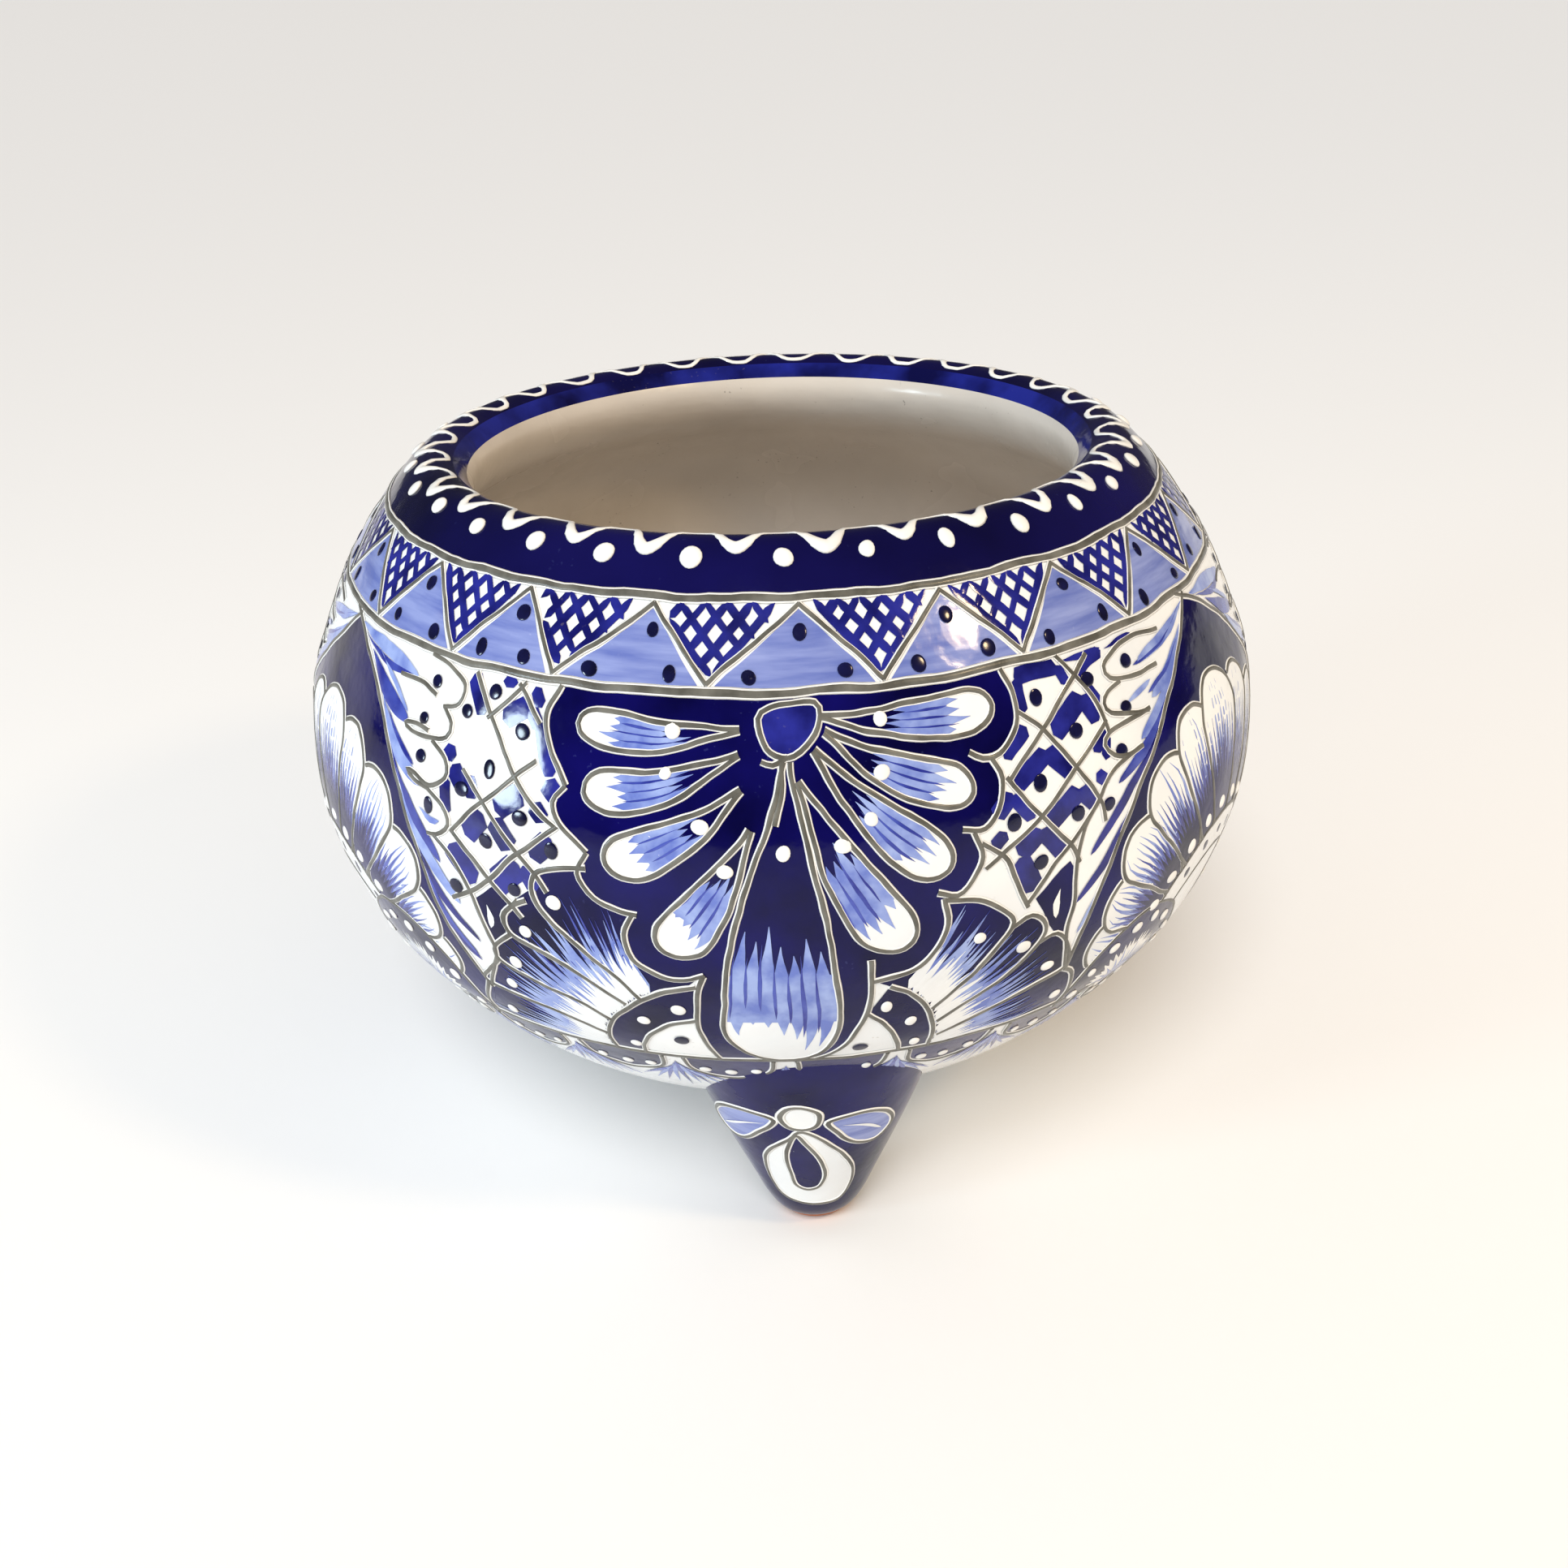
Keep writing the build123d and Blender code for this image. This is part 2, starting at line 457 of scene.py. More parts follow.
def makeGlazeGroup():
    # two tones mixed by cloudy and streaky noise, specks, a hazy roughness and a soft hand-made surface
    m = makeGroup("glazeFinish", [
        ("Thin Colour", "Color", (0.5, 0.5, 0.5, 1)), ("Thick Colour", "Color", (0.2, 0.2, 0.2, 1)),
        ("Cloud Scale", "Float", 60.0), ("Cloud Contrast", "Float", 1.0),
        ("Streak Stretch", "Vector", (1, 1, 1)),
        ("Speck Amount", "Float", 0.2), ("Speck Colour", "Color", (0.3, 0.25, 0.2, 1)),
        ("Base Roughness", "Float", 0.12), ("Surface Swell", "Float", 0.4), ("Grain", "Float", 0.1),
    ], [("Colour", "Color"), ("Roughness", "Float"), ("Normal", "Vector")], "ShaderNodeTree")
    source = m.source
    where = m.add("ShaderNodeTexCoord").outputs["Object"]

    def noise(scale, detail, vector=where):
        return m.add("ShaderNodeTexNoise", Vector=vector, Scale=scale, Detail=detail).outputs[0]

    def ranged(value, low, high, toLow, toHigh):
        return m.add("ShaderNodeMapRange", Value=value, From_Min=low, From_Max=high, To_Min=toLow,
                     To_Max=toHigh).outputs[0]

    stretched = m.add("ShaderNodeMapping", Vector=where, Scale=source["Streak Stretch"]).outputs[0]
    spread = m.times(m.minus(noise(source["Cloud Scale"], 4.0, stretched), 0.5),
                     m.times(source["Cloud Contrast"], 2.6))
    factor = m.add("ShaderNodeClamp", i0=m.plus(spread, 0.5)).outputs[0]
    tone = m.blendColour(factor, source["Thin Colour"], source["Thick Colour"])
    speck = ranged(noise(900.0, 1.0), 0.70, 0.76, 0.0, 1.0)
    sparse = ranged(noise(45.0, 2.0), 0.52, 0.68, 0.0, 1.0)
    specks = m.times(m.times(speck, sparse), source["Speck Amount"])
    m.put(m.end, "Colour", m.blendColour(specks, tone, source["Speck Colour"]))
    haze = ranged(noise(28.0, 3.0), 0.3, 0.7, -0.03, 0.06)
    m.put(m.end, "Roughness", m.plus(haze, source["Base Roughness"]))
    swell = m.times(noise(24.0, 2.0), source["Surface Swell"])
    ripple = m.times(noise(160.0, 2.0), m.times(source["Surface Swell"], 0.10))
    grit = m.times(noise(1400.0, 2.0), m.times(source["Grain"], 0.02))
    bump = m.add("ShaderNodeBump", Strength=1.0, Distance=0.004, Height=m.plus(m.plus(swell, ripple), grit))
    m.put(m.end, "Normal", bump.outputs[0])
    return m.tree


glazeGroup = makeGlazeGroup()


def shade(red, green, blue):
    # a colour given as 0 to 255 on screen
    tones = [c / 255 / 12.92 if c <= 10 else ((c / 255 + 0.055) / 1.055) ** 2.4 for c in (red, green, blue)]
    return (*tones, 1)


# Each glaze: its slot, its thin and thick colours as 0 to 255 on screen, and what sets it apart
glazes = {
    "whiteGlaze": ("white_glaze", (242, 242, 240), (228, 231, 233), {
        "Cloud Scale": 30.0, "Speck Amount": 0.35, "Speck Colour": shade(150, 130, 110),
        "Base Roughness": 0.14, "Surface Swell": 0.45, "Grain": 0.15}),
    "insideGlaze": ("white_glaze", (224, 216, 206), (206, 198, 188), {
        "coat": 0.1, "Cloud Scale": 18.0, "Speck Amount": 0.5, "Speck Colour": shade(90, 80, 70),
        "Base Roughness": 0.24, "Surface Swell": 0.5}),
    "navyGlaze": ("cobalt_glaze", (12, 8, 88), (3, 2, 46), {
        "coat": 0.08, "specular": 0.22, "Cloud Scale": 40.0, "Cloud Contrast": 1.1, "Speck Amount": 0.12,
        "Speck Colour": shade(120, 130, 200), "Base Roughness": 0.10, "Surface Swell": 0.45}),
    "lipNavyGlaze": ("cobalt_glaze", (17, 14, 78), (5, 4, 36), {
        "coat": 0.1, "specular": 0.25, "Cloud Scale": 16.0, "Speck Amount": 0.1,
        "Speck Colour": shade(90, 100, 160), "Base Roughness": 0.12, "Surface Swell": 0.5}),
    "throatBlue": ("cobalt_glaze", (30, 38, 132), (8, 9, 62), {
        "coat": 0.15, "Cloud Scale": 50.0, "Cloud Contrast": 1.6, "Base Roughness": 0.12,
        "Surface Swell": 0.5}),
    "washGlaze": ("cobalt_glaze", (140, 152, 204), (100, 114, 180), {
        "Cloud Scale": 150.0, "Cloud Contrast": 1.3, "Streak Stretch": (0.3, 0.3, 3.0),
        "Speck Amount": 0.15,
        "Speck Colour": shade(220, 225, 240), "Base Roughness": 0.13, "Surface Swell": 0.45}),
    "cobaltStroke": ("cobalt_glaze", (38, 42, 138), (16, 17, 88), {
        "Cloud Scale": 110.0, "Cloud Contrast": 1.4, "Base Roughness": 0.12, "Surface Swell": 0.4}),
    "skyStroke": ("cobalt_glaze", (154, 171, 220), (100, 118, 192), {
        "Cloud Scale": 140.0, "Cloud Contrast": 1.4, "Base Roughness": 0.12, "Surface Swell": 0.4}),
    "midStroke": ("cobalt_glaze", (72, 86, 174), (38, 45, 134), {
        "Cloud Scale": 120.0, "Cloud Contrast": 1.4, "Base Roughness": 0.12, "Surface Swell": 0.4}),
    "whiteTrail": ("white_glaze", (246, 245, 241), (232, 231, 227), {
        "Cloud Scale": 90.0, "Base Roughness": 0.16, "Surface Swell": 0.2, "Grain": 0.3}),
    "greyTrail": ("line_glaze", (116, 114, 106), (84, 82, 75), {
        "coat": 0.15, "Cloud Scale": 170.0, "Cloud Contrast": 1.3, "Speck Amount": 0.5,
        "Speck Colour": shade(66, 66, 64), "Base Roughness": 0.34, "Surface Swell": 0.2, "Grain": 1.0}),
    "darkDot": ("cobalt_glaze", (18, 20, 66), (8, 8, 34), {
        "Cloud Scale": 200.0, "Base Roughness": 0.16, "Surface Swell": 0.3}),
    "clayBody": ("", (186, 120, 84), (160, 96, 66), {
        "coat": 0.0, "specular": 0.25, "Cloud Scale": 90.0, "Speck Amount": 0.8,
        "Speck Colour": shade(90, 60, 45), "Base Roughness": 0.85, "Surface Swell": 0.1, "Grain": 2.0}),
}


def makeGlaze(name, thin, thick, inputs):
    material = bpy.data.materials.new(name)
    material.use_nodes = True
    m = NodeKit(material.node_tree)
    shader = m.tree.nodes["Principled BSDF"]
    group = m.tree.nodes.new("ShaderNodeGroup")
    group.node_tree = glazeGroup
    finish = {"Thin Colour": shade(*thin), "Thick Colour": shade(*thick), **inputs}
    gloss = {"Coat Weight": finish.pop("coat", 0.2), "Coat Roughness": 0.04,
             "Specular IOR Level": finish.pop("specular", 0.36), "IOR": 1.5,
             "Base Color": group.outputs["Colour"], "Roughness": group.outputs["Roughness"],
             "Normal": group.outputs["Normal"]}
    for node, values in ((group, finish), (shader, gloss)):
        for key, value in values.items():
            m.put(node, key, value)
    material.diffuse_color = shade(*thick)


for glazeName, look in glazes.items():
    makeGlaze(glazeName, *look[1:])
print("materials ready")

for nodeName in ("clay_bowl", "clay_lip", "foot_front", "foot_right", "foot_left"):
    clay = frame["nodes"][nodeName]
    clay.data.materials.clear()
    clay.data.materials.append(bpy.data.materials["clayBody"])

# The coats are flat sheets: four wrapped right round the pot, and one round each foot
coats = {
    "around": 288, "downStep": 2.4, "footAround": 96, "footDownStep": 1.0,
    "insideRise": 1.3,       # how far the inside coat is lifted off the wall
    "insideEase": 22.0,      # and over what length it comes back to it at its edge
    "footSink": 2.5,         # a foot's skin starts this far inside the bowl's wall
}


def footTop(x):
    # how far down a foot its skin leaves the bowl's wall, on the foot's side at x
    angle = x / foot["girth"]
    wall = potPath[len(potPath) * 2 // 3:]
    for place, length in zip(footPath, footLengths):
        reach = place.x * math.cos(angle) * foot["flattening"] + foot["ring"]
        out = math.hypot(place.x * math.sin(angle), reach)
        if place.y < min(wall, key=lambda spot: abs(spot.x - out)).y + coats["footSink"]:
            return length
    return 0.0


def addCoat(name, fromDown, toDown, glazeName, replaced, onFoot=False, rise=0.0):
    # rise lifts the sheet off its guide, little by little from its lower edge in the layout
    width = 2 * math.pi * (foot["girth"] if onFoot else pot["bellyRadius"])
    around = coats["footAround" if onFoot else "around"]
    rows = max(2, round((toDown - fromDown) / coats["footDownStep" if onFoot else "downStep"]))
    starts = [footTop(width * (i / around - 0.5)) if onFoot else fromDown for i in range(around + 1)]
    verts = []
    for j in range(rows + 1):
        for i, start in enumerate(starts):
            down = start + (toDown - start) * j / rows
            ease = min(1.0, (toDown - down) / coats["insideEase"])
            verts.append((width * (i / around - 0.5), down, rise * ease))
    wide = around + 1
    faces = [[j * wide + i, (j + 1) * wide + i, (j + 1) * wide + i + 1, j * wide + i + 1]
             for j in range(rows) for i in range(around)]
    finishPiece(flatMesh(name, verts, faces), glazeName, replaced, onFoot,
                **{"Flat Copies": 1, "Wobble": 0.0})


addCoat("outsideCoat", 0.0, potLengths[-1] - firstLine, "whiteGlaze", ["outside_glaze"])
addCoat("lipCoat", pot["throatFrom"], 0.0, "lipNavyGlaze", ["lip_glaze"])
addCoat("throatCoat", pot["lipGlazeFrom"], pot["throatFrom"], "throatBlue", ["lip_glaze"])
addCoat("insideCoat", -firstLine, pot["lipGlazeFrom"], "insideGlaze", ["inside_glaze"],
        rise=coats["insideRise"])
addCoat("footCoats", 0.0, footLengths[-1], "navyGlaze",
        ["foot_glaze_front", "foot_glaze_right", "foot_glaze_left"], onFoot=True)
print("coats done")

# how far each flat layer of paint stands off the skin, in mm
layers = {"field": 0.10, "white": 0.16, "sky": 0.22, "daisy": 0.27, "daisyRing": 0.33, "arch": 0.37,
          "archWhite": 0.38, "archSky": 0.43}
whiteEdge = {"width": 1.75, "height": 0.42, "lift": 0.12, "sides": 8, "unevenness": 0.35}
greyCore = {"width": 1.2, "height": 0.54, "lift": 0.20, "sides": 8, "unevenness": 0.30}
whiteDots = {"radius": 1.45, "rise": 0.26, "stretch": 1.06, "lift": 0.25}
blackDots = {"radius": 1.6, "rise": 0.10, "stretch": 1.02, "lift": 0.24}

navy, white, wash, sky, cobalt, mid, archWhite, archSky = (Sheet() for k in range(8))
trails = []          # every grey line with white edges, in one side of the pot
lightSpots = []
darkSpots = []
archDots = []


def trail(points, closed=False):
    path = smoothPath(points, closed)
    trails.append((path, closed))
    return path


def addSpots(spots, places, size):
    spots.extend((place[0], place[1], size) for place in places)


def straight(start, end, parts=6):
    return [start.lerp(end, s / parts) for s in range(parts + 1)]


def bothSides(place, across, stations, tip=()):
    # a petal's outline, up one side and down the other, with its tip if it has one
    up = [place(-across, t) for t in stations]
    return up + [place(0, t) for t in tip] + [place(across, t) for t in reversed(stations)]


def roundEnd(t, shoulder):
    # the half width of a petal from its shoulder to its round tip
    return math.sqrt(max(0.0, 1 - ((t - shoulder) / (1 - shoulder)) ** 2))


# The band of triangles under the lip
band = {
    "peaks": [-107, -70, -32.5, 5, 43.5, 80, 117],
    "valleys": [-125.5, -89, -56.5, -17.5, 24.5, 61.5, 98.5],
    "top": 1.0, "bottom": 19.0, "halfway": 10,
    "hatchWidth": 2.0, "hatchGap": 6.1, "hatchSlant": 0.95, "hatchStep": 0.42, "hatchClear": 1.9,
}


def crossHatch(peak, nextPeak, valley):
    # crossed strokes in the triangle that hangs between two peaks
    top, bottom = band["top"], band["bottom"]
    middle, halfTop = (peak + nextPeak) / 2, (nextPeak - peak) / 2
    for slant in (-1, 1):
        for k in range(-3, 4):
            shift = (k + 0.3 * slant) * band["hatchGap"]
            centre = middle * 0.4 + valley * 0.6 + shift + dice.uniform(-0.5, 0.5)
            inside = []
            for s in range(40):
                down = top - 0.5 + s * band["hatchStep"]
                x = centre + slant * band["hatchSlant"] * (down - 6)
                half = halfTop * (1 - (down - top) / (bottom - top + 1.0))
                lean = middle + (valley - middle) * (down - top) / (bottom - top)
                if abs(x - lean) < half - band["hatchClear"]:
                    inside.append((x, down))
            if len(inside) > 7:
                ends = [inside[0], inside[len(inside) // 2], inside[-1]]
                wide = band["hatchWidth"] * dice.uniform(0.85, 1.15)
                cobalt.stroke(smoothPath(ends), wide, layers["white"] + 0.02 * slant, tail=0.12, head=0.15)


def makeBand():
    top, bottom, halfway = band["top"], band["bottom"], band["halfway"]
    valleys = band["valleys"] + [band["valleys"][0] + sidePitch]
    peaks = band["peaks"] + [band["peaks"][0] + sidePitch]
    for i, peak in enumerate(band["peaks"]):
        left, right = valleys[i], valleys[i + 1]
        wash.fill([(left + 2, bottom - 0.3), (peak, top + 1), (right - 2, bottom - 0.3)], layers["field"],
                  4)
        trail([(left, bottom - 0.6), ((left + peak) / 2 - 0.5, halfway), (peak, top + 0.5)])
        trail([(peak, top + 0.5), ((right + peak) / 2 + 0.4, halfway), (right, bottom - 0.6)])
        for spot in ((peak, top + 6.2), (left + 9.5, bottom - 2.6), (right - 9.0, bottom - 2.6)):
            darkSpots.append((spot[0] + dice.uniform(-0.7, 0.7), spot[1] + dice.uniform(-0.4, 0.4), 1.12))
        crossHatch(peak, peaks[i + 1], right)


# Tapering petals: base, tip, half width, sideways bend and where its raised dot sits
frontPetals = [
    ((-9.5, 27.2), (-48.0, 28.3), 4.0, -1.5, (-25.3, 27.8)),
    ((-10.0, 32.3), (-44.8, 42.3), 4.4, -2.5, (-26.0, 36.6)),
    ((-9.5, 40.0), (-39.0, 57.0), 4.9, -2.0, (-18.3, 47.3)),
    ((-7.8, 48.0), (-26.5, 76.5), 5.6, -1.5, (-13.2, 57.0)),
    ((8.5, 25.8), (49.0, 27.8), 4.6, 1.0, (22.2, 26.8)),
    ((9.0, 28.7), (41.5, 44.6), 4.8, 1.5, (21.3, 37.3)),
    ((6.5, 32.0), (34.0, 60.8), 5.2, 1.0, (18.0, 47.2)),
    ((3.0, 38.0), (24.5, 77.6), 6.0, 1.5, (12.0, 52.6)),
]
centralPetal = ((0.8, 34.0), (-2.6, 115.0), 13.2, 1.0, (-0.8, 53.0))


def petalFrame(base, tip, half, bend, shoulder):
    # gives the place across (-1 to 1) and along (0 to 1) a teardrop petal
    base, tip = Vector(base), Vector(tip)
    way = tip - base
    side = Vector((-way.y, way.x)).normalized()

    def place(across, t):
        if t < shoulder:
            width = 0.05 + 0.95 * math.sin(math.pi / 2 * t / shoulder) ** 1.25
        else:
            width = roundEnd(t, shoulder)
        return base + way * t + side * (bend * math.sin(math.pi * t) + across * half * width)
    return place


def addPetal(base, tip, half, bend, whiteFrom, skyFrom, skyTo, spikes, shoulder=0.82):
    place = petalFrame(base, tip, half, bend, shoulder)
    stations = [i / 16 * 0.94 for i in range(17)] + [0.965, 0.985]
    trails.append((smoothPath(bothSides(place, 1, stations, [1.0]), step=1.2), False))
    whiteEnd = [whiteFrom + (0.985 - whiteFrom) * i / 8 for i in range(9)]
    white.fill(bothSides(place, 0.96, whiteEnd, [0.995]), layers["white"], 3.0)
    # a band of light blue with points at both ends, and darker streaks in it
    full = [skyFrom + (skyTo - skyFrom) * (0.30 + 0.44 * i / 5) for i in range(6)]
    sky.fill(bothSides(place, 0.94, full), layers["white"] + 0.03, 3.0)
    slot = 2 * half / spikes
    for k in range(spikes):
        across = (-1 + (2 * k + 1) / spikes) * 0.9
        rise = skyFrom - dice.uniform(-0.08, 0.07)
        drop = skyTo + dice.uniform(-0.08, 0.05) - 0.05 * abs(across)
        for stop, root in ((rise, full[0] + 0.04), (drop, full[-1] - 0.04)):
            spike = [place(across, stop + (root - stop) * s / 6) for s in range(7)]
            sky.stroke(spike, slot * 1.15, layers["white"] + 0.04, crown=0.03, tail=0.95, head=0.05)
        span = drop - rise - 0.12
        streak = [place(across + 0.9 / spikes, rise + 0.05 + span * s / 8) for s in range(9)]
        mid.stroke(streak, slot * dice.uniform(0.16, 0.34), layers["sky"], crown=0.03, tail=0.5, head=0.5)


def makePalmette():
    leftArcs = [
        [(-53, 21), (-56, 27), (-54.5, 34), (-49.5, 41.5)],
        [(-49.5, 41.5), (-52, 45), (-50, 49.5), (-43.5, 55)],
        [(-43.5, 55), (-45.5, 60), (-42, 65), (-36, 67.5), (-32.5, 68)],
        [(-33.5, 68), (-35.5, 73), (-34, 79), (-28, 84), (-23, 84.5), (-18.8, 82.5)],
        [(-19.2, 83), (-21.3, 90), (-22, 100), (-20.5, 109), (-18.5, 115)],
    ]
    rightArcs = [
        [(53.5, 21), (55.5, 27), (54, 33), (49, 37.5), (45, 38), (42, 36.5)],
        [(47, 38.5), (48.5, 43), (47, 49), (43, 53), (38, 52.5)],
        [(40.5, 53.5), (42, 59), (39.5, 64), (36, 66.8), (31.5, 65.5)],
        [(33, 67), (34, 73), (31.5, 79), (27, 84), (18, 86)],
        [(17.3, 80), (17.5, 88), (16.5, 97), (13.5, 106), (9, 112), (4.5, 115)],
    ]
    left = [trail(points) for points in leftArcs]
    right = [trail(points) for points in rightArcs]
    skip = {0: 6, 1: 4, 2: 4}      # the right arcs' loose ends stay off the outline
    outline = [p for arc in left for p in arc[:-1]]
    backWay = []
    for i, arc in enumerate(right):
        backWay += arc[:len(arc) - skip.get(i, 1)] if i < 3 else arc
    outline += [Vector((-10, 115)), Vector((-2, 115))] + list(reversed(backWay))
    clean = [p for i, p in enumerate(outline) if i == 0 or (p - outline[i - 1]).length > 0.3]
    navy.fill(clean, layers["field"], 3.4)
    for base, tip, half, bend, dot in frontPetals:
        addPetal(base, tip, half, bend, 0.64, 0.36, 0.86, 4)
        addSpots(lightSpots, [dot], 1.12)
    base, tip, half, bend, dot = centralPetal
    addPetal(base, tip, half, bend, 0.76, 0.47, 0.90, 7, shoulder=0.80)
    addSpots(lightSpots, [dot], 1.15)
    # the bud at the top of the stem
    bud = [(-5.2, 25.0), (-3.0, 22.8), (2.0, 22.2), (7.5, 22.6), (8.4, 25.5), (6.2, 30.0), (1.0, 33.2),
           (-3.6, 31.0)]
    cobalt.fill(smoothPath(bud, True), layers["white"], 2.5)
    trails.append((smoothPath(bud, True), True))
    trail([(1.0, 33.0), (-2.2, 34.6), (-4.8, 33.9)])
    trail([(-0.3, 34.0), (-0.6, 40.0), (-2.6, 47.0)])
    return left, right


def addRays(centre, outline, firstTurn, lastTurn):
    # feathered strokes that fan out of a rosette; 0 degrees is straight up, positive to the right
    count = rosette["rays"]
    for k in range(count):
        turn = math.radians(firstTurn + (lastTurn - firstTurn) * (k + dice.uniform(0.1, 0.9)) / count)
        way = Vector((math.sin(turn), -math.cos(turn)))
        near = rosette["rayFrom"]
        start = next((d for d in range(near, 50) if insideOutline(centre + way * d, outline)), near)
        for sheet, reach, wide, lift in (
                (mid, rosette["skyReach"] + 3, 1.6, layers["white"]),
                (sky, rosette["skyReach"], 3.0, layers["white"] + 0.03),
                (white, rosette["whiteReach"], 2.4, layers["sky"] + 0.02)):
            end = reach * dice.uniform(0.72, 1.12)
            path = [centre + way * (start + end * s / 6) for s in range(7)]
            if all(insideOutline(p, outline) for p in path[1:]):
                sheet.stroke(path[::-1], wide * dice.uniform(0.7, 1.2), lift + dice.uniform(0, 0.03),
                             tail=0.8, head=0.1)


# The half rosettes on the bottom line, on each side of the central petal
rosette = {
    "rayFrom": 18, "rays": 46, "whiteReach": 14, "skyReach": 25,
    "left": {
        "outer": [(-21, 86.5), (-30, 89.5), (-38, 95), (-43.5, 102), (-46, 108), (-46, 115)],
        "inner": [(-22.3, 97.5), (-29, 100), (-34, 104.5), (-37, 110), (-38, 115)],
        "seeds": [(-26, 94), (-35, 99), (-39.2, 110)],
        "heart": (-27, 106),
        "scallops": [
            [(-43.5, 58.5), (-50, 59.5), (-56, 62), (-57, 67), (-53, 73), (-46, 79), (-39, 85),
             (-34.5, 92)],
            [(-61, 69.5), (-64.8, 74), (-64.2, 79), (-57, 82), (-48, 86.5), (-38.5, 94)],
            [(-64.5, 79.5), (-70, 84.5), (-70, 89), (-60, 93), (-50, 96.5), (-43, 101)],
            [(-70.5, 89), (-76, 95), (-78, 99), (-66, 101.5), (-55, 103.5), (-45.5, 107)],
            [(-78, 99), (-82.5, 107), (-84, 115)]],
        "border": [(-84, 115), (-82.5, 107), (-78, 98.5), (-75, 94), (-70.3, 88), (-69, 84), (-64.5, 79),
                   (-64.5, 74), (-61, 69), (-57.5, 66), (-56, 62), (-50, 59.5), (-43.5, 58.5)],
        "centre": (-24, 120),
        "fan": (-82, -12),
        "outerFrom": 2,
        "dots": [(-52, 68), (-60, 77.2), (-64.8, 88), (-69.3, 96.8), (-75, 109)],
    },
    "right": {
        "outer": [(21.5, 88), (27, 92), (31, 98), (33.5, 106), (34, 115)],
        "inner": [(16.8, 96.5), (21, 101), (24.2, 107), (26, 115)],
        "seeds": [(21, 94.5), (27.3, 101), (29.5, 111)],
        "heart": (16.2, 110),
        "scallops": [
            [(33.5, 67.5), (41, 69), (47.5, 73), (49.5, 77.5), (43, 86), (37, 93), (32, 98)],
            [(49.5, 77.5), (54, 75.8), (58, 79.5), (57.5, 84.5), (50, 92), (42, 98), (34, 103.5)],
            [(57.5, 85), (62, 84), (66, 88.5), (67.5, 97), (58, 100), (48, 104), (35, 109.5)],
            [(67.5, 98), (71, 101), (73, 108), (73, 115)]],
        "border": [(73, 115), (73, 108), (71, 101), (67.3, 97), (66, 88.5), (62, 84), (58, 84),
                   (57.8, 79.5), (54, 76), (49.5, 77), (47.5, 73), (41, 69), (33.8, 67.5)],
        "centre": (8, 120),
        "fan": (16, 84),
        "outerFrom": 0,
        "dots": [(41.5, 78.5), (53, 84.5), (61.5, 94.2), (68.5, 108)],
    },
}


def makeRosettes(left, right):
    # each ground runs along its own border, then along the palmette's edge and the ring
    edges = {"left": left[2][3:] + left[3], "right": right[3][1:]}
    for side in ("left", "right"):
        shape = rosette[side]
        outer, inner = trail(shape["outer"]), trail(shape["inner"])
        for points in shape["scallops"]:
            trail(points)
        outline = [Vector(p) for p in shape["border"]] + edges[side] + outer[shape["outerFrom"]:]
        navy.fill(outline, layers["field"], 3.4)
        addRays(Vector(shape["centre"]), outline, *shape["fan"])
        navy.fill(outer + inner[::-1], layers["field"], 4)
        addSpots(lightSpots, shape["seeds"], 1.08)
        addSpots(lightSpots, shape["dots"], 1.12)
        addSpots(darkSpots, [shape["heart"]], 1.05)


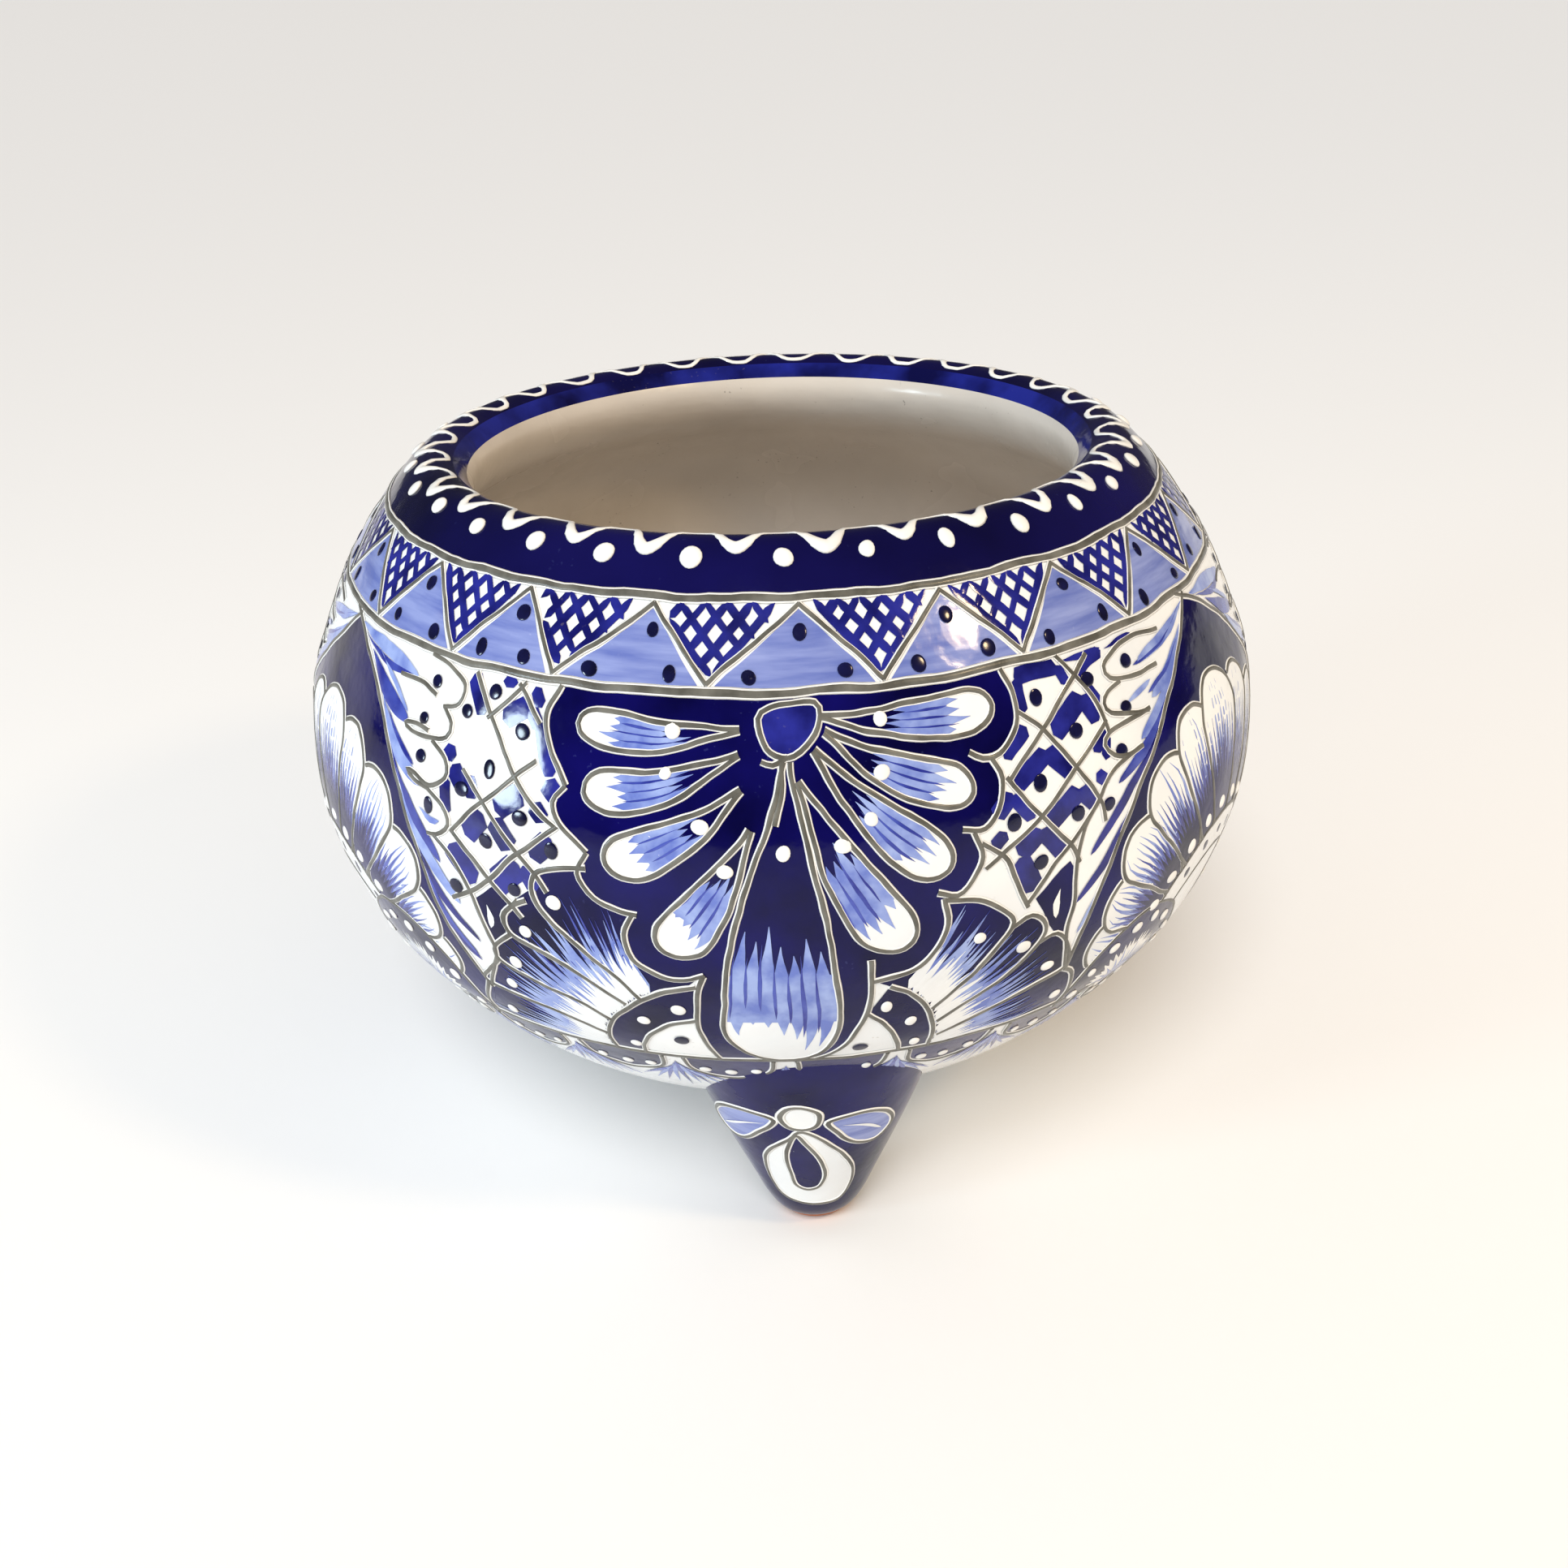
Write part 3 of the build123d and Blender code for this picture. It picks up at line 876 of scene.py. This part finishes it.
# Diagonal lattices beside the palmette: their lines, the dark bars that hug the lines, and the dots
lattice = {
    "rightSpread": (1.1, 1.35), "leftSpread": (1.35, 1.65),
    "rightLines": [
        [(79, 22.5), (67, 31), (57, 38), (50, 44)],
        [(79.5, 38), (68, 45), (57, 53.5), (47, 59), (42.5, 62)],
        [(73, 54), (64, 62), (58, 67), (52.5, 73)], [(70, 21), (76, 30), (79, 38), (79.5, 41)],
        [(55, 30), (60, 34), (64.5, 40), (69, 47), (73, 54), (74.3, 59.5)],
        [(49.5, 43), (57, 53.5), (64, 62), (66.5, 67)], [(42, 56), (47, 60), (50, 67), (53, 73.5)],
    ],
    "rightDots": [(61.5, 28.5), (70, 37.5), (58, 46), (50, 53), (66.5, 55.5), (56, 64), (77, 28)],
    "rightBars": [
        ([(56.5, 23.5), (63, 23.0), (69.5, 23.3)], 2.8), ([(57.2, 23.5), (57.0, 31)], 2.4),
        ([(69.2, 23), (71, 28)], 2.2), ([(63.5, 36.9), (74, 31.0)], 3.8),
        ([(73.6, 31), (77.2, 37.4)], 3.2), ([(51.6, 45.4), (61, 39.8)], 3.8),
        ([(60.6, 39.4), (66.8, 46.4)], 3.4), ([(58.6, 55.8), (67.8, 50.2)], 3.8),
        ([(67.4, 50), (71.8, 55)], 3.0), ([(45.6, 51), (50.5, 46.7)], 3.4),
        ([(50.4, 47.2), (55.2, 53.4)], 3.0), ([(50.2, 60.8), (56.2, 56.4)], 4.2),
        ([(56, 56.6), (62.2, 64)], 3.2), ([(50.4, 61.6), (54.8, 70)], 4.0),
        ([(44.5, 57.6), (48, 54.6)], 2.6), ([(74.5, 26.8), (78, 24.4), (84, 22.9)], 2.4),
        ([(75.4, 27.5), (78.6, 34)], 2.2), ([(49.8, 38.8), (56.8, 33.6)], 3.0),
        ([(73.6, 43.4), (79, 40)], 3.0), ([(78.8, 40.6), (76.6, 46)], 2.4), ([(73, 48), (76.6, 51)], 2.4),
    ],
    "rightPatch": [(55, 72), (59.5, 68.5), (64, 66), (66, 69.5), (65.6, 76), (64.8, 84), (61.5, 84),
                   (58.6, 79.5), (57, 76)],
    "rightLeaf": [(61.2, 71.5), (60.4, 75), (60.8, 79)],
    "leftLines": [
        [(-63, 21.5), (-67, 26), (-72.5, 30.5)], [(-65, 22), (-61, 25), (-57.4, 29.5)],
        [(-57.6, 37.4), (-61, 40), (-66, 45), (-71, 49.4), (-76, 54), (-79.5, 57.4)],
        [(-50.5, 50.5), (-56, 55), (-62, 60), (-67, 65), (-72, 69), (-80, 74)],
        [(-78.5, 21.5), (-73, 28), (-66, 37), (-60, 43.5), (-55, 48), (-50.5, 51)],
        [(-77, 42.5), (-71, 48), (-65.5, 53.5), (-60, 58.5), (-56.5, 62), (-53.5, 66)],
        [(-79.5, 57), (-74, 61.5), (-68.5, 66), (-63, 70.5), (-60.2, 73.5)],
        [(-58.8, 69), (-63, 71.5), (-65.4, 75), (-64.5, 79)],
    ],
    "leftDots": [(-71.6, 25), (-62, 32), (-79, 30.2), (-69.6, 41), (-76.6, 47.2), (-59.4, 50), (-69, 57.6),
                 (-61.5, 67), (-51.8, 56)],
    "leftBars": [
        ([(-68, 30.4), (-61, 26)], 3.4), ([(-60.4, 26), (-57.4, 31)], 2.6),
        ([(-57.4, 29.5), (-55.6, 36), (-53, 40)], 2.6), ([(-79.4, 22), (-73.6, 30)], 3.0),
        ([(-82.8, 38.5), (-80.8, 42)], 2.4), ([(-80.6, 42.5), (-75.4, 47.6)], 3.0),
        ([(-82, 45.6), (-80.8, 54)], 2.0), ([(-76, 43.6), (-72.6, 48.6)], 2.6),
        ([(-66.4, 50), (-59.8, 44.2)], 4.0), ([(-57, 46), (-53.4, 50)], 2.4),
        ([(-75.2, 57.4), (-69.8, 51.8)], 4.0), ([(-67, 52), (-61.8, 58)], 3.4),
        ([(-66.8, 67), (-60, 61)], 4.0), ([(-59, 61), (-56, 66)], 2.6), ([(-57, 58.4), (-51.8, 53.4)], 3.8),
        ([(-80, 60.6), (-72.6, 68.2)], 3.6), ([(-50.8, 44.5), (-54.6, 41)], 2.6),
        ([(-65.6, 21.9), (-70, 22.4)], 1.6), ([(-60, 21.8), (-57.4, 26)], 2.2),
    ],
    "leftPatch": [(-70.4, 70), (-66.4, 66.8), (-60.4, 72), (-64, 75), (-65.8, 79.5), (-70, 83.5),
                  (-70.6, 87), (-72.4, 79), (-74.6, 73)],
    "leftLeaf": [(-69.8, 73), (-69, 76), (-69.6, 79)],
}


def makeLattice():
    for side in ("right", "left"):
        for points in lattice[side + "Lines"]:
            trail(points)
        addSpots(darkSpots, lattice[side + "Dots"], 1.15)
        for points, wide in lattice[side + "Bars"]:
            cobalt.stroke(smoothPath(points, step=1.0), wide * dice.uniform(*lattice[side + "Spread"]),
                          layers["white"], tail=0.06, head=0.08)
        navy.fill(lattice[side + "Patch"], layers["field"], 3)
        white.stroke(smoothPath(lattice[side + "Leaf"], step=1.0), 1.9, layers["white"], tail=0.5, head=0.5)


# White wings with scalloped lobes, next to the side panels
wings = {
    "rightLobes": [
        [(107, 24.2), (97, 23), (88, 24), (83, 26.5), (84, 29.5), (90, 31), (102, 31.2)],
        [(94.5, 39.5), (88, 38.6), (81.5, 37), (79.8, 34.5), (82, 32.3), (87, 31.2)],
        [(88.5, 46), (84, 46.6), (79.5, 45.5), (77.3, 43), (79.5, 40.8), (86, 39.9), (95, 39.2)],
        [(89, 46), (82, 47.2), (77, 49.5), (72.8, 54), (69, 58), (66.5, 63), (65.5, 70), (65.5, 77),
         (64.8, 84), (66, 90), (67.3, 97)],
    ],
    "rightPanel": [(126.5, 21), (117, 28.5), (108, 35.5), (99, 42.5), (90, 50.5), (83, 59), (77, 67.5),
                   (72.5, 76), (70, 84), (68.5, 92), (67.8, 98.5)],
    "rightStrokes": [
        ([(124, 22.5), (111, 26), (95, 28.7)], 2.6, "sky"),
        ([(121, 23), (106, 27.5), (93, 29)], 1.2, "mid"),
        ([(118, 26.5), (108, 33), (97, 37.4)], 3.0, "sky"),
        ([(115, 28.5), (105, 33.5), (96, 36)], 1.3, "mid"),
        ([(110, 33), (100, 39.5), (89, 44.8)], 2.5, "sky"), ([(104, 38), (93, 45), (79.5, 52)], 2.4, "mid"),
        ([(97, 43.5), (86, 52), (69.5, 66.5)], 2.2, "cobalt"),
        ([(86, 55), (76, 67), (65.8, 77)], 1.9, "cobalt"), ([(78, 66.5), (72, 77), (68, 86)], 1.2, "sky"),
        ([(87, 36.6), (92, 35), (98, 33.5)], 1.2, "sky"),
        ([(70, 22.6), (77, 22.7), (84, 22.4)], 1.4, "cobalt"),
        ([(85, 22.9), (91, 22.6), (96, 22.2)], 1.1, "cobalt"),
    ],
    "rightDots": [(91, 27.4), (87, 37), (82, 45.2), (75.7, 56)],
    "leftLobes": [
        [(-95, 21), (-87, 22.3), (-81.5, 24.8), (-82, 29), (-87, 31)],
        [(-105, 27.8), (-97, 27.4), (-90, 29.3)],
        [(-86.5, 31), (-83, 34), (-83.8, 37.4), (-89, 38.7), (-96, 38.7), (-99, 37.3), (-95, 36.6),
         (-90, 37.4)],
        [(-88, 39.2), (-82.8, 42), (-82, 46), (-86.5, 49), (-92, 47.6), (-95, 47.2), (-92, 49),
         (-87, 49.8)],
        [(-87, 49.8), (-82, 52.3), (-80.3, 56.2), (-84, 59.4), (-87, 60)],
        [(-85, 60), (-79, 64), (-74.5, 71), (-71.5, 79), (-70.3, 86), (-73, 92), (-77, 100)],
    ],
    "leftPanel": [(-140, 20.5), (-130, 24), (-120, 30), (-110, 37.5), (-102, 46), (-96, 55), (-91, 66),
                  (-87, 76), (-83, 86), (-79.5, 95), (-77.5, 101)],
    "leftStrokes": [
        ([(-134, 22.5), (-116, 24), (-98, 26.8)], 3.2, "sky"),
        ([(-128, 24), (-112, 27.5), (-100, 26.6)], 1.6, "mid"),
        ([(-122, 26.5), (-110, 33), (-98, 37)], 3.6, "mid"),
        ([(-118, 25.5), (-108, 30), (-99, 35)], 1.2, "sky"),
        ([(-111, 34.5), (-101, 43.5), (-90, 50)], 3.2, "sky"),
        ([(-108, 36), (-100, 42), (-93, 46)], 1.2, "mid"),
        ([(-103, 43.5), (-96, 52.5), (-83, 66.5)], 2.8, "mid"),
        ([(-99, 48), (-91, 62), (-78, 75)], 3.0, "sky"),
        ([(-96, 54), (-89.5, 68), (-74.5, 84.8)], 2.0, "cobalt"),
        ([(-90, 66), (-84, 80), (-77, 90)], 2.0, "mid"),
        ([(-84, 80), (-80, 88), (-76.5, 91.5)], 1.4, "cobalt"),
        ([(-90, 54.5), (-86, 56.5), (-83, 56)], 1.4, "sky"),
    ],
    "leftDots": [(-91, 26.4), (-92.6, 35), (-91, 43.4), (-86.6, 53.4), (-78.6, 70.7)],
}


def makeWings():
    sheets = {"sky": sky, "mid": mid, "cobalt": cobalt}
    for side in ("right", "left"):
        for points in wings[side + "Lobes"]:
            trail(points)
        trail(wings[side + "Panel"])
        for points, wide, colour in wings[side + "Strokes"]:
            sheets[colour].stroke(smoothPath(points), wide * 1.1, layers["sky"], tail=0.45, head=0.35)
        addSpots(darkSpots, wings[side + "Dots"], 1.05)


# The big daisy in each side panel, and the two half daisies under it
daisy = {
    "centre": (125.0, 108.0), "turns": [0, -15, 15, -30, 30, -45, 45, -59, 59, -73, 73], "half": 8.6,
    "topHalf": 10.8,
    "reach": 51.5, "stretch": 17.0, "dotRing": 33.5, "ringOuter": 30.0, "ringInner": 20.5,
    "arches": [((95.5, 118.0), 22.5, 27.0), ((154.0, 118.0), 23.0, 31.0)],
}


def ringAt(centre, across, up, first, last, count):
    # part of an oval round a centre, from the first to the last turn in degrees; 0 is straight up
    places = []
    for k in range(count):
        turn = math.radians(first + (last - first) * k / (count - 1))
        places.append(Vector((centre[0] + math.sin(turn) * across, centre[1] - math.cos(turn) * up)))
    return places


def seenRuns(path, shapes):
    # the parts of a path that no shape covers
    runs, run = [], []
    for spot in list(path) + [None]:
        if spot is not None and not any(insideOutline(spot, shape) for shape in shapes):
            run.append(spot)
        else:
            if len(run) > 2:
                runs.append(run)
            run = []
    return runs


def daisyPetal(turn, above, lift):
    # a club shape, narrow at the ring and round at its tip; the petals above it hide its outline
    centre = Vector(daisy["centre"])
    angle = math.radians(turn)
    way = Vector((math.sin(angle), -math.cos(angle)))
    side = Vector((-way.y, way.x))
    reach = daisy["reach"] + daisy["stretch"] * math.cos(angle) ** 2 + dice.uniform(-1.0, 1.0)
    half = daisy["topHalf"] if turn == 0 else daisy["half"]
    base, span = centre + way * (daisy["ringOuter"] - 0.5), reach - daisy["ringOuter"]
    shoulder = max(0.5, 1 - half / span)

    def place(across, t):
        if t < shoulder:
            width = 0.34 + 0.66 * (t / shoulder) ** 0.8
        else:
            width = roundEnd(t, shoulder)
        return base + way * span * t + side * across * half * width
    steps = [i / 14 * 0.93 for i in range(15)] + [0.96, 0.985]
    outline = bothSides(place, 1, steps, [1.0])
    white.fill(outline, lift, 3.5)
    trails.extend((run, False) for run in seenRuns(smoothPath(outline, step=1.2), above))
    # feathered blue from the ring outwards, darkest at the ring
    for sheet, far, count, wide, up in ((sky, 0.90, 9, 0.28, 0.010), (mid, 0.76, 9, 0.22, 0.020),
                                        (cobalt, 0.64, 8, 0.28, 0.030), (navy, 0.50, 7, 0.34, 0.040)):
        for k in range(count):
            across = (-1 + (2 * k + 1) / count) * 0.84
            end = far * dice.uniform(0.78, 1.12) * (1.0 - 0.12 * abs(across))
            path = [place(across, end * (1 - s / 8)) for s in range(9)]
            sheet.stroke(path, wide * half, lift + up, crown=0.008, tail=0.8, head=0.04)
    spot = centre + way * daisy["dotRing"]
    if not any(insideOutline(spot, arch) for arch in above[:len(daisy["arches"])]):
        lightSpots.append((spot.x, spot.y, 1.2))
    return outline


def makeSidePanel():
    centre, outerRing, innerRing = daisy["centre"], daisy["ringOuter"], daisy["ringInner"]
    corners = [(70, 106), (73, 115), (128, 115), (sidePitch - 84, 115), (sidePitch - 80, 107)]
    farSide = smoothPath([(x + sidePitch, down) for x, down in wings["leftPanel"]])
    navy.fill(smoothPath(wings["rightPanel"]) + corners + farSide[::-1], layers["field"], 3.2)
    arches = [ringAt(place, across, up, -88, 88, 41) for place, across, up in daisy["arches"]]
    above = list(arches)
    for i, turn in enumerate(daisy["turns"]):
        above.append(daisyPetal(turn, above, layers["daisy"] - 0.010 * i))
    white.fill(ringAt(centre, outerRing, outerRing, -100, 100, 41), layers["daisyRing"], 4)
    for radius in (outerRing, innerRing):
        trails.extend((run, False) for run in seenRuns(ringAt(centre, radius, radius, -100, 100, 61),
                                                       arches))
    middle = (outerRing + innerRing) / 2
    seeds = ringAt(centre, middle, middle, -76, 84, 9)
    addSpots(darkSpots, [spot for spot in seeds if not any(insideOutline(spot, arch) for arch in arches)],
             1.0)
    for arch, (place, across, up) in zip(arches, daisy["arches"]):
        navy.fill(arch, layers["arch"], 4)
        trails.append((arch, False))
        addSpots(archDots, ringAt(place, across * 0.84, up * 0.84, -78, 78, 8), 1.1)
        roots = ringAt(place, across * 0.1, up * 0.1, -72, 72, 25)
        tips = ringAt(place, across, up, -78, 78, 25)
        for k, (root, tip) in enumerate(zip(roots, tips)):
            end = root.lerp(tip, 0.62 if k % 4 else 0.54)
            archWhite.stroke(straight(end, root), 4.2, layers["archWhite"], crown=0.03, tail=0.6, head=0.1)
            if k % 2:
                reach = root.lerp(tip, dice.uniform(0.40, 0.56))
                archSky.stroke(straight(reach, root, 5), 1.7, layers["archSky"], crown=0.03, tail=0.8,
                               head=0.1)


# The scalloped border under the bottom line
border = {"count": 9, "top": 116.2, "deep": 12.0, "share": 0.80, "start": 11.5, "corner": 7, "side": 6}


def makeBorder():
    pitch = sidePitch / border["count"]
    top, low = border["top"], border["top"] + border["deep"]
    corner, side = top + border["corner"], border["side"]
    for k in range(border["count"]):
        left = -sidePitch / 2 + (k + 0.12) * pitch + border["start"]
        right = left + pitch * border["share"]
        scallop = trail([(left, top), (left + 1.2, corner), (left + side, low - 1.5),
                         ((left + right) / 2, low), (right - side, low - 1.5), (right - 1.2, corner),
                         (right, top)])
        navy.fill([(left, top - 0.8)] + scallop + [(right, top - 0.8)], layers["field"], 4)
        for share in (0.2, 0.5, 0.8):
            lightSpots.append((left + (right - left) * share, top + 5.0 + 2.5 * math.sin(math.pi * share),
                               1.0))
        fork = right + pitch * 0.10
        for s in range(9):
            lean = (s - 4) * 1.5
            end = Vector((fork + lean * 2.3, low + 10 - abs(lean) * 0.6 + dice.uniform(-1.5, 1.5)))
            start = Vector((fork + lean * 0.4, top + 3 + abs(lean)))
            (sky if s % 2 else mid).stroke(straight(start, end)[::-1], 1.7, layers["white"], tail=0.7,
                                           head=0.2)


makeBand()
leftArcs, rightArcs = makePalmette()
makeRosettes(leftArcs, rightArcs)
makeLattice()
makeWings()
makeSidePanel()
makeBorder()

navy.piece("navyFields", "navyGlaze")
wash.piece("washTriangles", "washGlaze")
white.piece("whitePetals", "whiteGlaze")
sky.piece("skyStrokes", "skyStroke")
mid.piece("midStrokes", "midStroke")
cobalt.piece("cobaltStrokes", "cobaltStroke")
archWhite.piece("archPetals", "whiteTrail")
archSky.piece("archStrokes", "skyStroke")
print("painting done")

addTrails("whiteEdges", trails, "whiteTrail", whiteEdge)
addTrails("greyLines", trails, "greyTrail", greyCore)
addDots("lightDots", lightSpots, "whiteTrail", whiteDots)
addDots("archDots", archDots, "whiteTrail", dict(whiteDots, lift=0.5))
addDots("darkDots", darkSpots, "darkDot", blackDots)
rings = [(smoothPath([(x, pot[key]) for x in (-fullTurn / 2, 0, fullTurn / 2)], step=3.0), False)
         for key in ("upperLine", "lowerLine", "bottomLine")]
wholeTurn = {"Flat Copies": 1}      # these are drawn once round the pot, and not once in each side
addTrails("ringEdges", rings, "whiteTrail", dict(whiteEdge, width=2.4), **wholeTurn)
addTrails("ringLines", rings, "greyTrail", dict(greyCore, width=1.7),
          ["line_upper", "line_lower", "line_bottom"], **wholeTurn)
print("lines and dots done")

# The white wave trailed over the lip, with a raised dot under each crest
wave = {
    "periods": 31, "crest": -20.4, "trough": -11.9, "dotDown": -9.4, "phase": 0.5, "start": 0.9,
    "places": 18,
    "bead": {"width": 2.3, "height": 0.6, "lift": 0.0, "sides": 8, "unevenness": 0.3},
    "dots": {"radius": 2.3, "rise": 0.32, "stretch": 1.30, "lift": 0.1},
}


def makeWave():
    path, widths, dots = [], [], []
    pitch = fullTurn / wave["periods"]
    for k in range(wave["periods"]):
        start = -fullTurn / 2 + (k + wave["phase"]) * pitch + wave["start"]
        push, drop = dice.uniform(-1.6, 1.6), dice.uniform(-0.7, 0.7)
        dots.append((start + push * 0.5, wave["dotDown"] + drop * 0.6, dice.uniform(0.9, 1.12)))
        swell = dice.uniform(0.75, 1.15)
        for s in range(wave["places"]):
            t = s / wave["places"] * 2 * math.pi
            blend = (0.5 - 0.5 * math.tanh(1.8 * math.cos(t)) / math.tanh(1.8)) ** 1.7
            x = start + pitch * s / wave["places"] - 1.3 * math.sin(2 * t) + push * math.sin(t / 2) ** 2
            path.append(Vector((x, wave["crest"] + (wave["trough"] - wave["crest"] + drop) * blend)))
            widths.append(0.72 + swell * blend ** 1.2)
    path.append(path[0] + Vector((fullTurn, 0)))
    widths.append(widths[0])
    return path, widths, dots


wavePath, waveWidths, lipDots = makeWave()
addTrails("lipWave", [(wavePath, False, waveWidths)], "whiteTrail", wave["bead"], **wholeTurn)
addDots("lipDots", lipDots, "whiteTrail", wave["dots"], ["lip_dots"], **wholeTurn)
print("lip done")

# The painting on the feet, in flat mm round a foot (x) and down from its top
footPaint = {
    "ring": [(-1, 27), (-4, 30), (-9.5, 37), (-12.3, 45), (-12, 52), (-9.5, 58), (0, 60), (8.5, 59),
             (11.5, 54), (11, 47.5), (8, 40), (4, 33)],
    "drop": [(-2.5, 28.5), (-4.6, 33), (-5.6, 39), (-5.4, 46), (-4.6, 51), (-1.5, 52.8), (2, 51.5),
             (3.4, 46.5), (2, 40), (-0.6, 33)],
    "bud": [(-4.8, 21.5), (-3.6, 18), (-1.2, 17), (1, 18.5), (1.8, 21), (1.2, 24.5), (-1.2, 26),
            (-3.8, 25)],
    "turn": -0.10,           # radians
    "spacing": 2.5, "white": 0.12, "leaf": 0.14, "navy": 0.2, "streak": 0.22,
         # mm; the last four are lifts
    "leaves": [[(-6, 23), (-11, 21), (-16, 22), (-21, 26), (-23.5, 31), (-20, 34.5), (-14.5, 33.5),
                (-10, 29)],
               [(3.5, 23), (9, 21.5), (14, 24), (18, 29), (18, 32.5), (14.5, 35), (9, 33), (5.5, 28)]],
    "streaks": [[(-8, 24.5), (-14, 27), (-20, 31)], [(6, 25), (10.5, 27), (15.5, 31)]],
}


def makeFeet():
    footWhite, footSky, footNavy, footTrails = Sheet(), Sheet(), Sheet(), []
    spacing = footPaint["spacing"]
    ring, drop, bud = (smoothPath(footPaint[key], True, 1.0) for key in ("ring", "drop", "bud"))
    footWhite.fill(ring, footPaint["white"], spacing)
    footWhite.fill(bud, footPaint["white"], spacing)
    footNavy.fill(drop, footPaint["navy"], spacing)
    footTrails += [(ring, True), (drop, True), (bud, True)]
    for points in footPaint["leaves"]:
        leaf = smoothPath(points, True, 1.0)
        footSky.fill(leaf, footPaint["leaf"], spacing)
        footTrails.append((leaf, True))
    for points in footPaint["streaks"]:
        footWhite.stroke(smoothPath(points, step=1.0), 0.8, footPaint["streak"], crown=0.02, tail=0.5,
                         head=0.5)
    place = {"onFoot": True, "Turn": footPaint["turn"]}
    footWhite.piece("footWhite", "whiteGlaze", **place)
    footSky.piece("footLeaves", "washGlaze", **place)
    footNavy.piece("footDrop", "navyGlaze", **place)
    addTrails("footEdges", footTrails, "whiteTrail", dict(whiteEdge, width=1.7), **place)
    addTrails("footLines", footTrails, "greyTrail", dict(greyCore, width=1.0), **place)


makeFeet()
print("feet done")

for guide in (potGuide, footGuide):
    bpy.data.objects.remove(guide)

# Floor, light and camera
studio = {
    "floorSize": 70.0, "floorTone": (0.88, 0.88, 0.88, 1), "floorRoughness": 0.7, "sunPower": 1.7,
    "sunAngle": 25.0, "sunTurn": (38.0, 8.0, -24.0),
    "skyLight": 0.66, "skyInGloss": 0.08, "skySeen": 0.92,
    "coolSide": (0.80, 0.90, 1.0, 1), "warmSide": (1.0, 0.80, 0.58, 1),
    # each lamp's name, place, size, power and colour
    "lamps": [
        ("windowLamp", (-0.98, -0.46, 0.32), 0.24, 4.0, (0.74, 0.90, 1.0)),
        ("warmLamp", (0.60, -0.51, 0.81), 0.14, 2.4, (1.0, 0.74, 0.42)),
    ],
}


def makeFloor():
    half = studio["floorSize"] / 2
    mesh = bpy.data.meshes.new("paleFloor")
    corners = [(-half, -half, 0), (half, -half, 0), (half, half, 0), (-half, half, 0)]
    mesh.from_pydata(corners, [], [[0, 1, 2, 3]])
    floor = newObject("paleFloor", mesh)
    material = bpy.data.materials.new("floorPaint")
    material.use_nodes = True
    shader = material.node_tree.nodes["Principled BSDF"]
    shader.inputs["Base Color"].default_value = studio["floorTone"]
    shader.inputs["Roughness"].default_value = studio["floorRoughness"]
    mesh.materials.append(material)


def aim(thing, place, target):
    thing.location = place
    thing.rotation_euler = (Vector(target) - Vector(place)).to_track_quat("-Z", "Y").to_euler()


def makeWorld():
    # cool light from one side and warm from the other; the glaze mirrors only a little of it
    world = bpy.data.worlds.new("softRoom")
    world.use_nodes = True
    m = NodeKit(world.node_tree)
    back = m.tree.nodes["Background"]
    across = m.parts(m.add("ShaderNodeTexCoord").outputs["Generated"])[0]
    side = m.add("ShaderNodeMapRange", Value=across, From_Min=-1.0).outputs[0]
    tint = m.blendColour(side, studio["coolSide"], studio["warmSide"])
    rays = m.add("ShaderNodeLightPath").outputs
    m.put(back, "Color", m.blendColour(rays["Is Camera Ray"], tint, (1, 1, 1, 1)))
    gloss = m.blend(rays["Is Glossy Ray"], studio["skyLight"], studio["skyInGloss"])
    m.put(back, "Strength", m.blend(rays["Is Camera Ray"], gloss, studio["skySeen"]))
    bpy.context.scene.world = world


def makeLights():
    makeWorld()
    sun = bpy.data.lights.new("softSun", "SUN")
    sun.energy = studio["sunPower"]
    sun.angle = math.radians(studio["sunAngle"])
    high = newObject("softSun", sun)
    high.visible_glossy = False
    high.rotation_euler = [math.radians(turn) for turn in studio["sunTurn"]]
    for name, place, size, power, colour in studio["lamps"]:
        data = bpy.data.lights.new(name, "AREA")
        data.shape = "DISK"
        data.size = size
        data.energy = power
        data.color = colour
        aim(newObject(name, data), place, (0, 0, 0.1))
    bpy.context.scene.view_settings.view_transform = "Standard"


# Back and up count in belly radii from a level in mm above the floor; the turns are in degrees
eye = {"around": -3.0, "back": 3.28599, "up": 1.27771, "pitch": 27.13, "yaw": 0.02, "roll": -2.1,
       "lens": 37.3,
       "level": 132.5}


def makeCamera():
    data = bpy.data.cameras.new("mainCamera")
    data.sensor_width = 36.0
    data.lens = eye["lens"]
    camera = newObject("mainCamera", data)
    radius = pot["bellyRadius"] * mm
    around, yaw, pitch, roll = (math.radians(eye[key]) for key in ("around", "yaw", "pitch", "roll"))
    camera.location = (math.sin(around) * eye["back"] * radius, -math.cos(around) * eye["back"] * radius,
                       eye["up"] * radius + eye["level"] * mm)
    turn = Matrix.Rotation(around + yaw, 3, "Z") @ Matrix.Rotation(math.pi / 2 - pitch, 3, "X")
    camera.rotation_euler = (turn @ Matrix.Rotation(roll, 3, "Z")).to_euler()
    bpy.context.scene.camera = camera


makeFloor()
makeLights()
makeCamera()
bpy.context.view_layer.update()
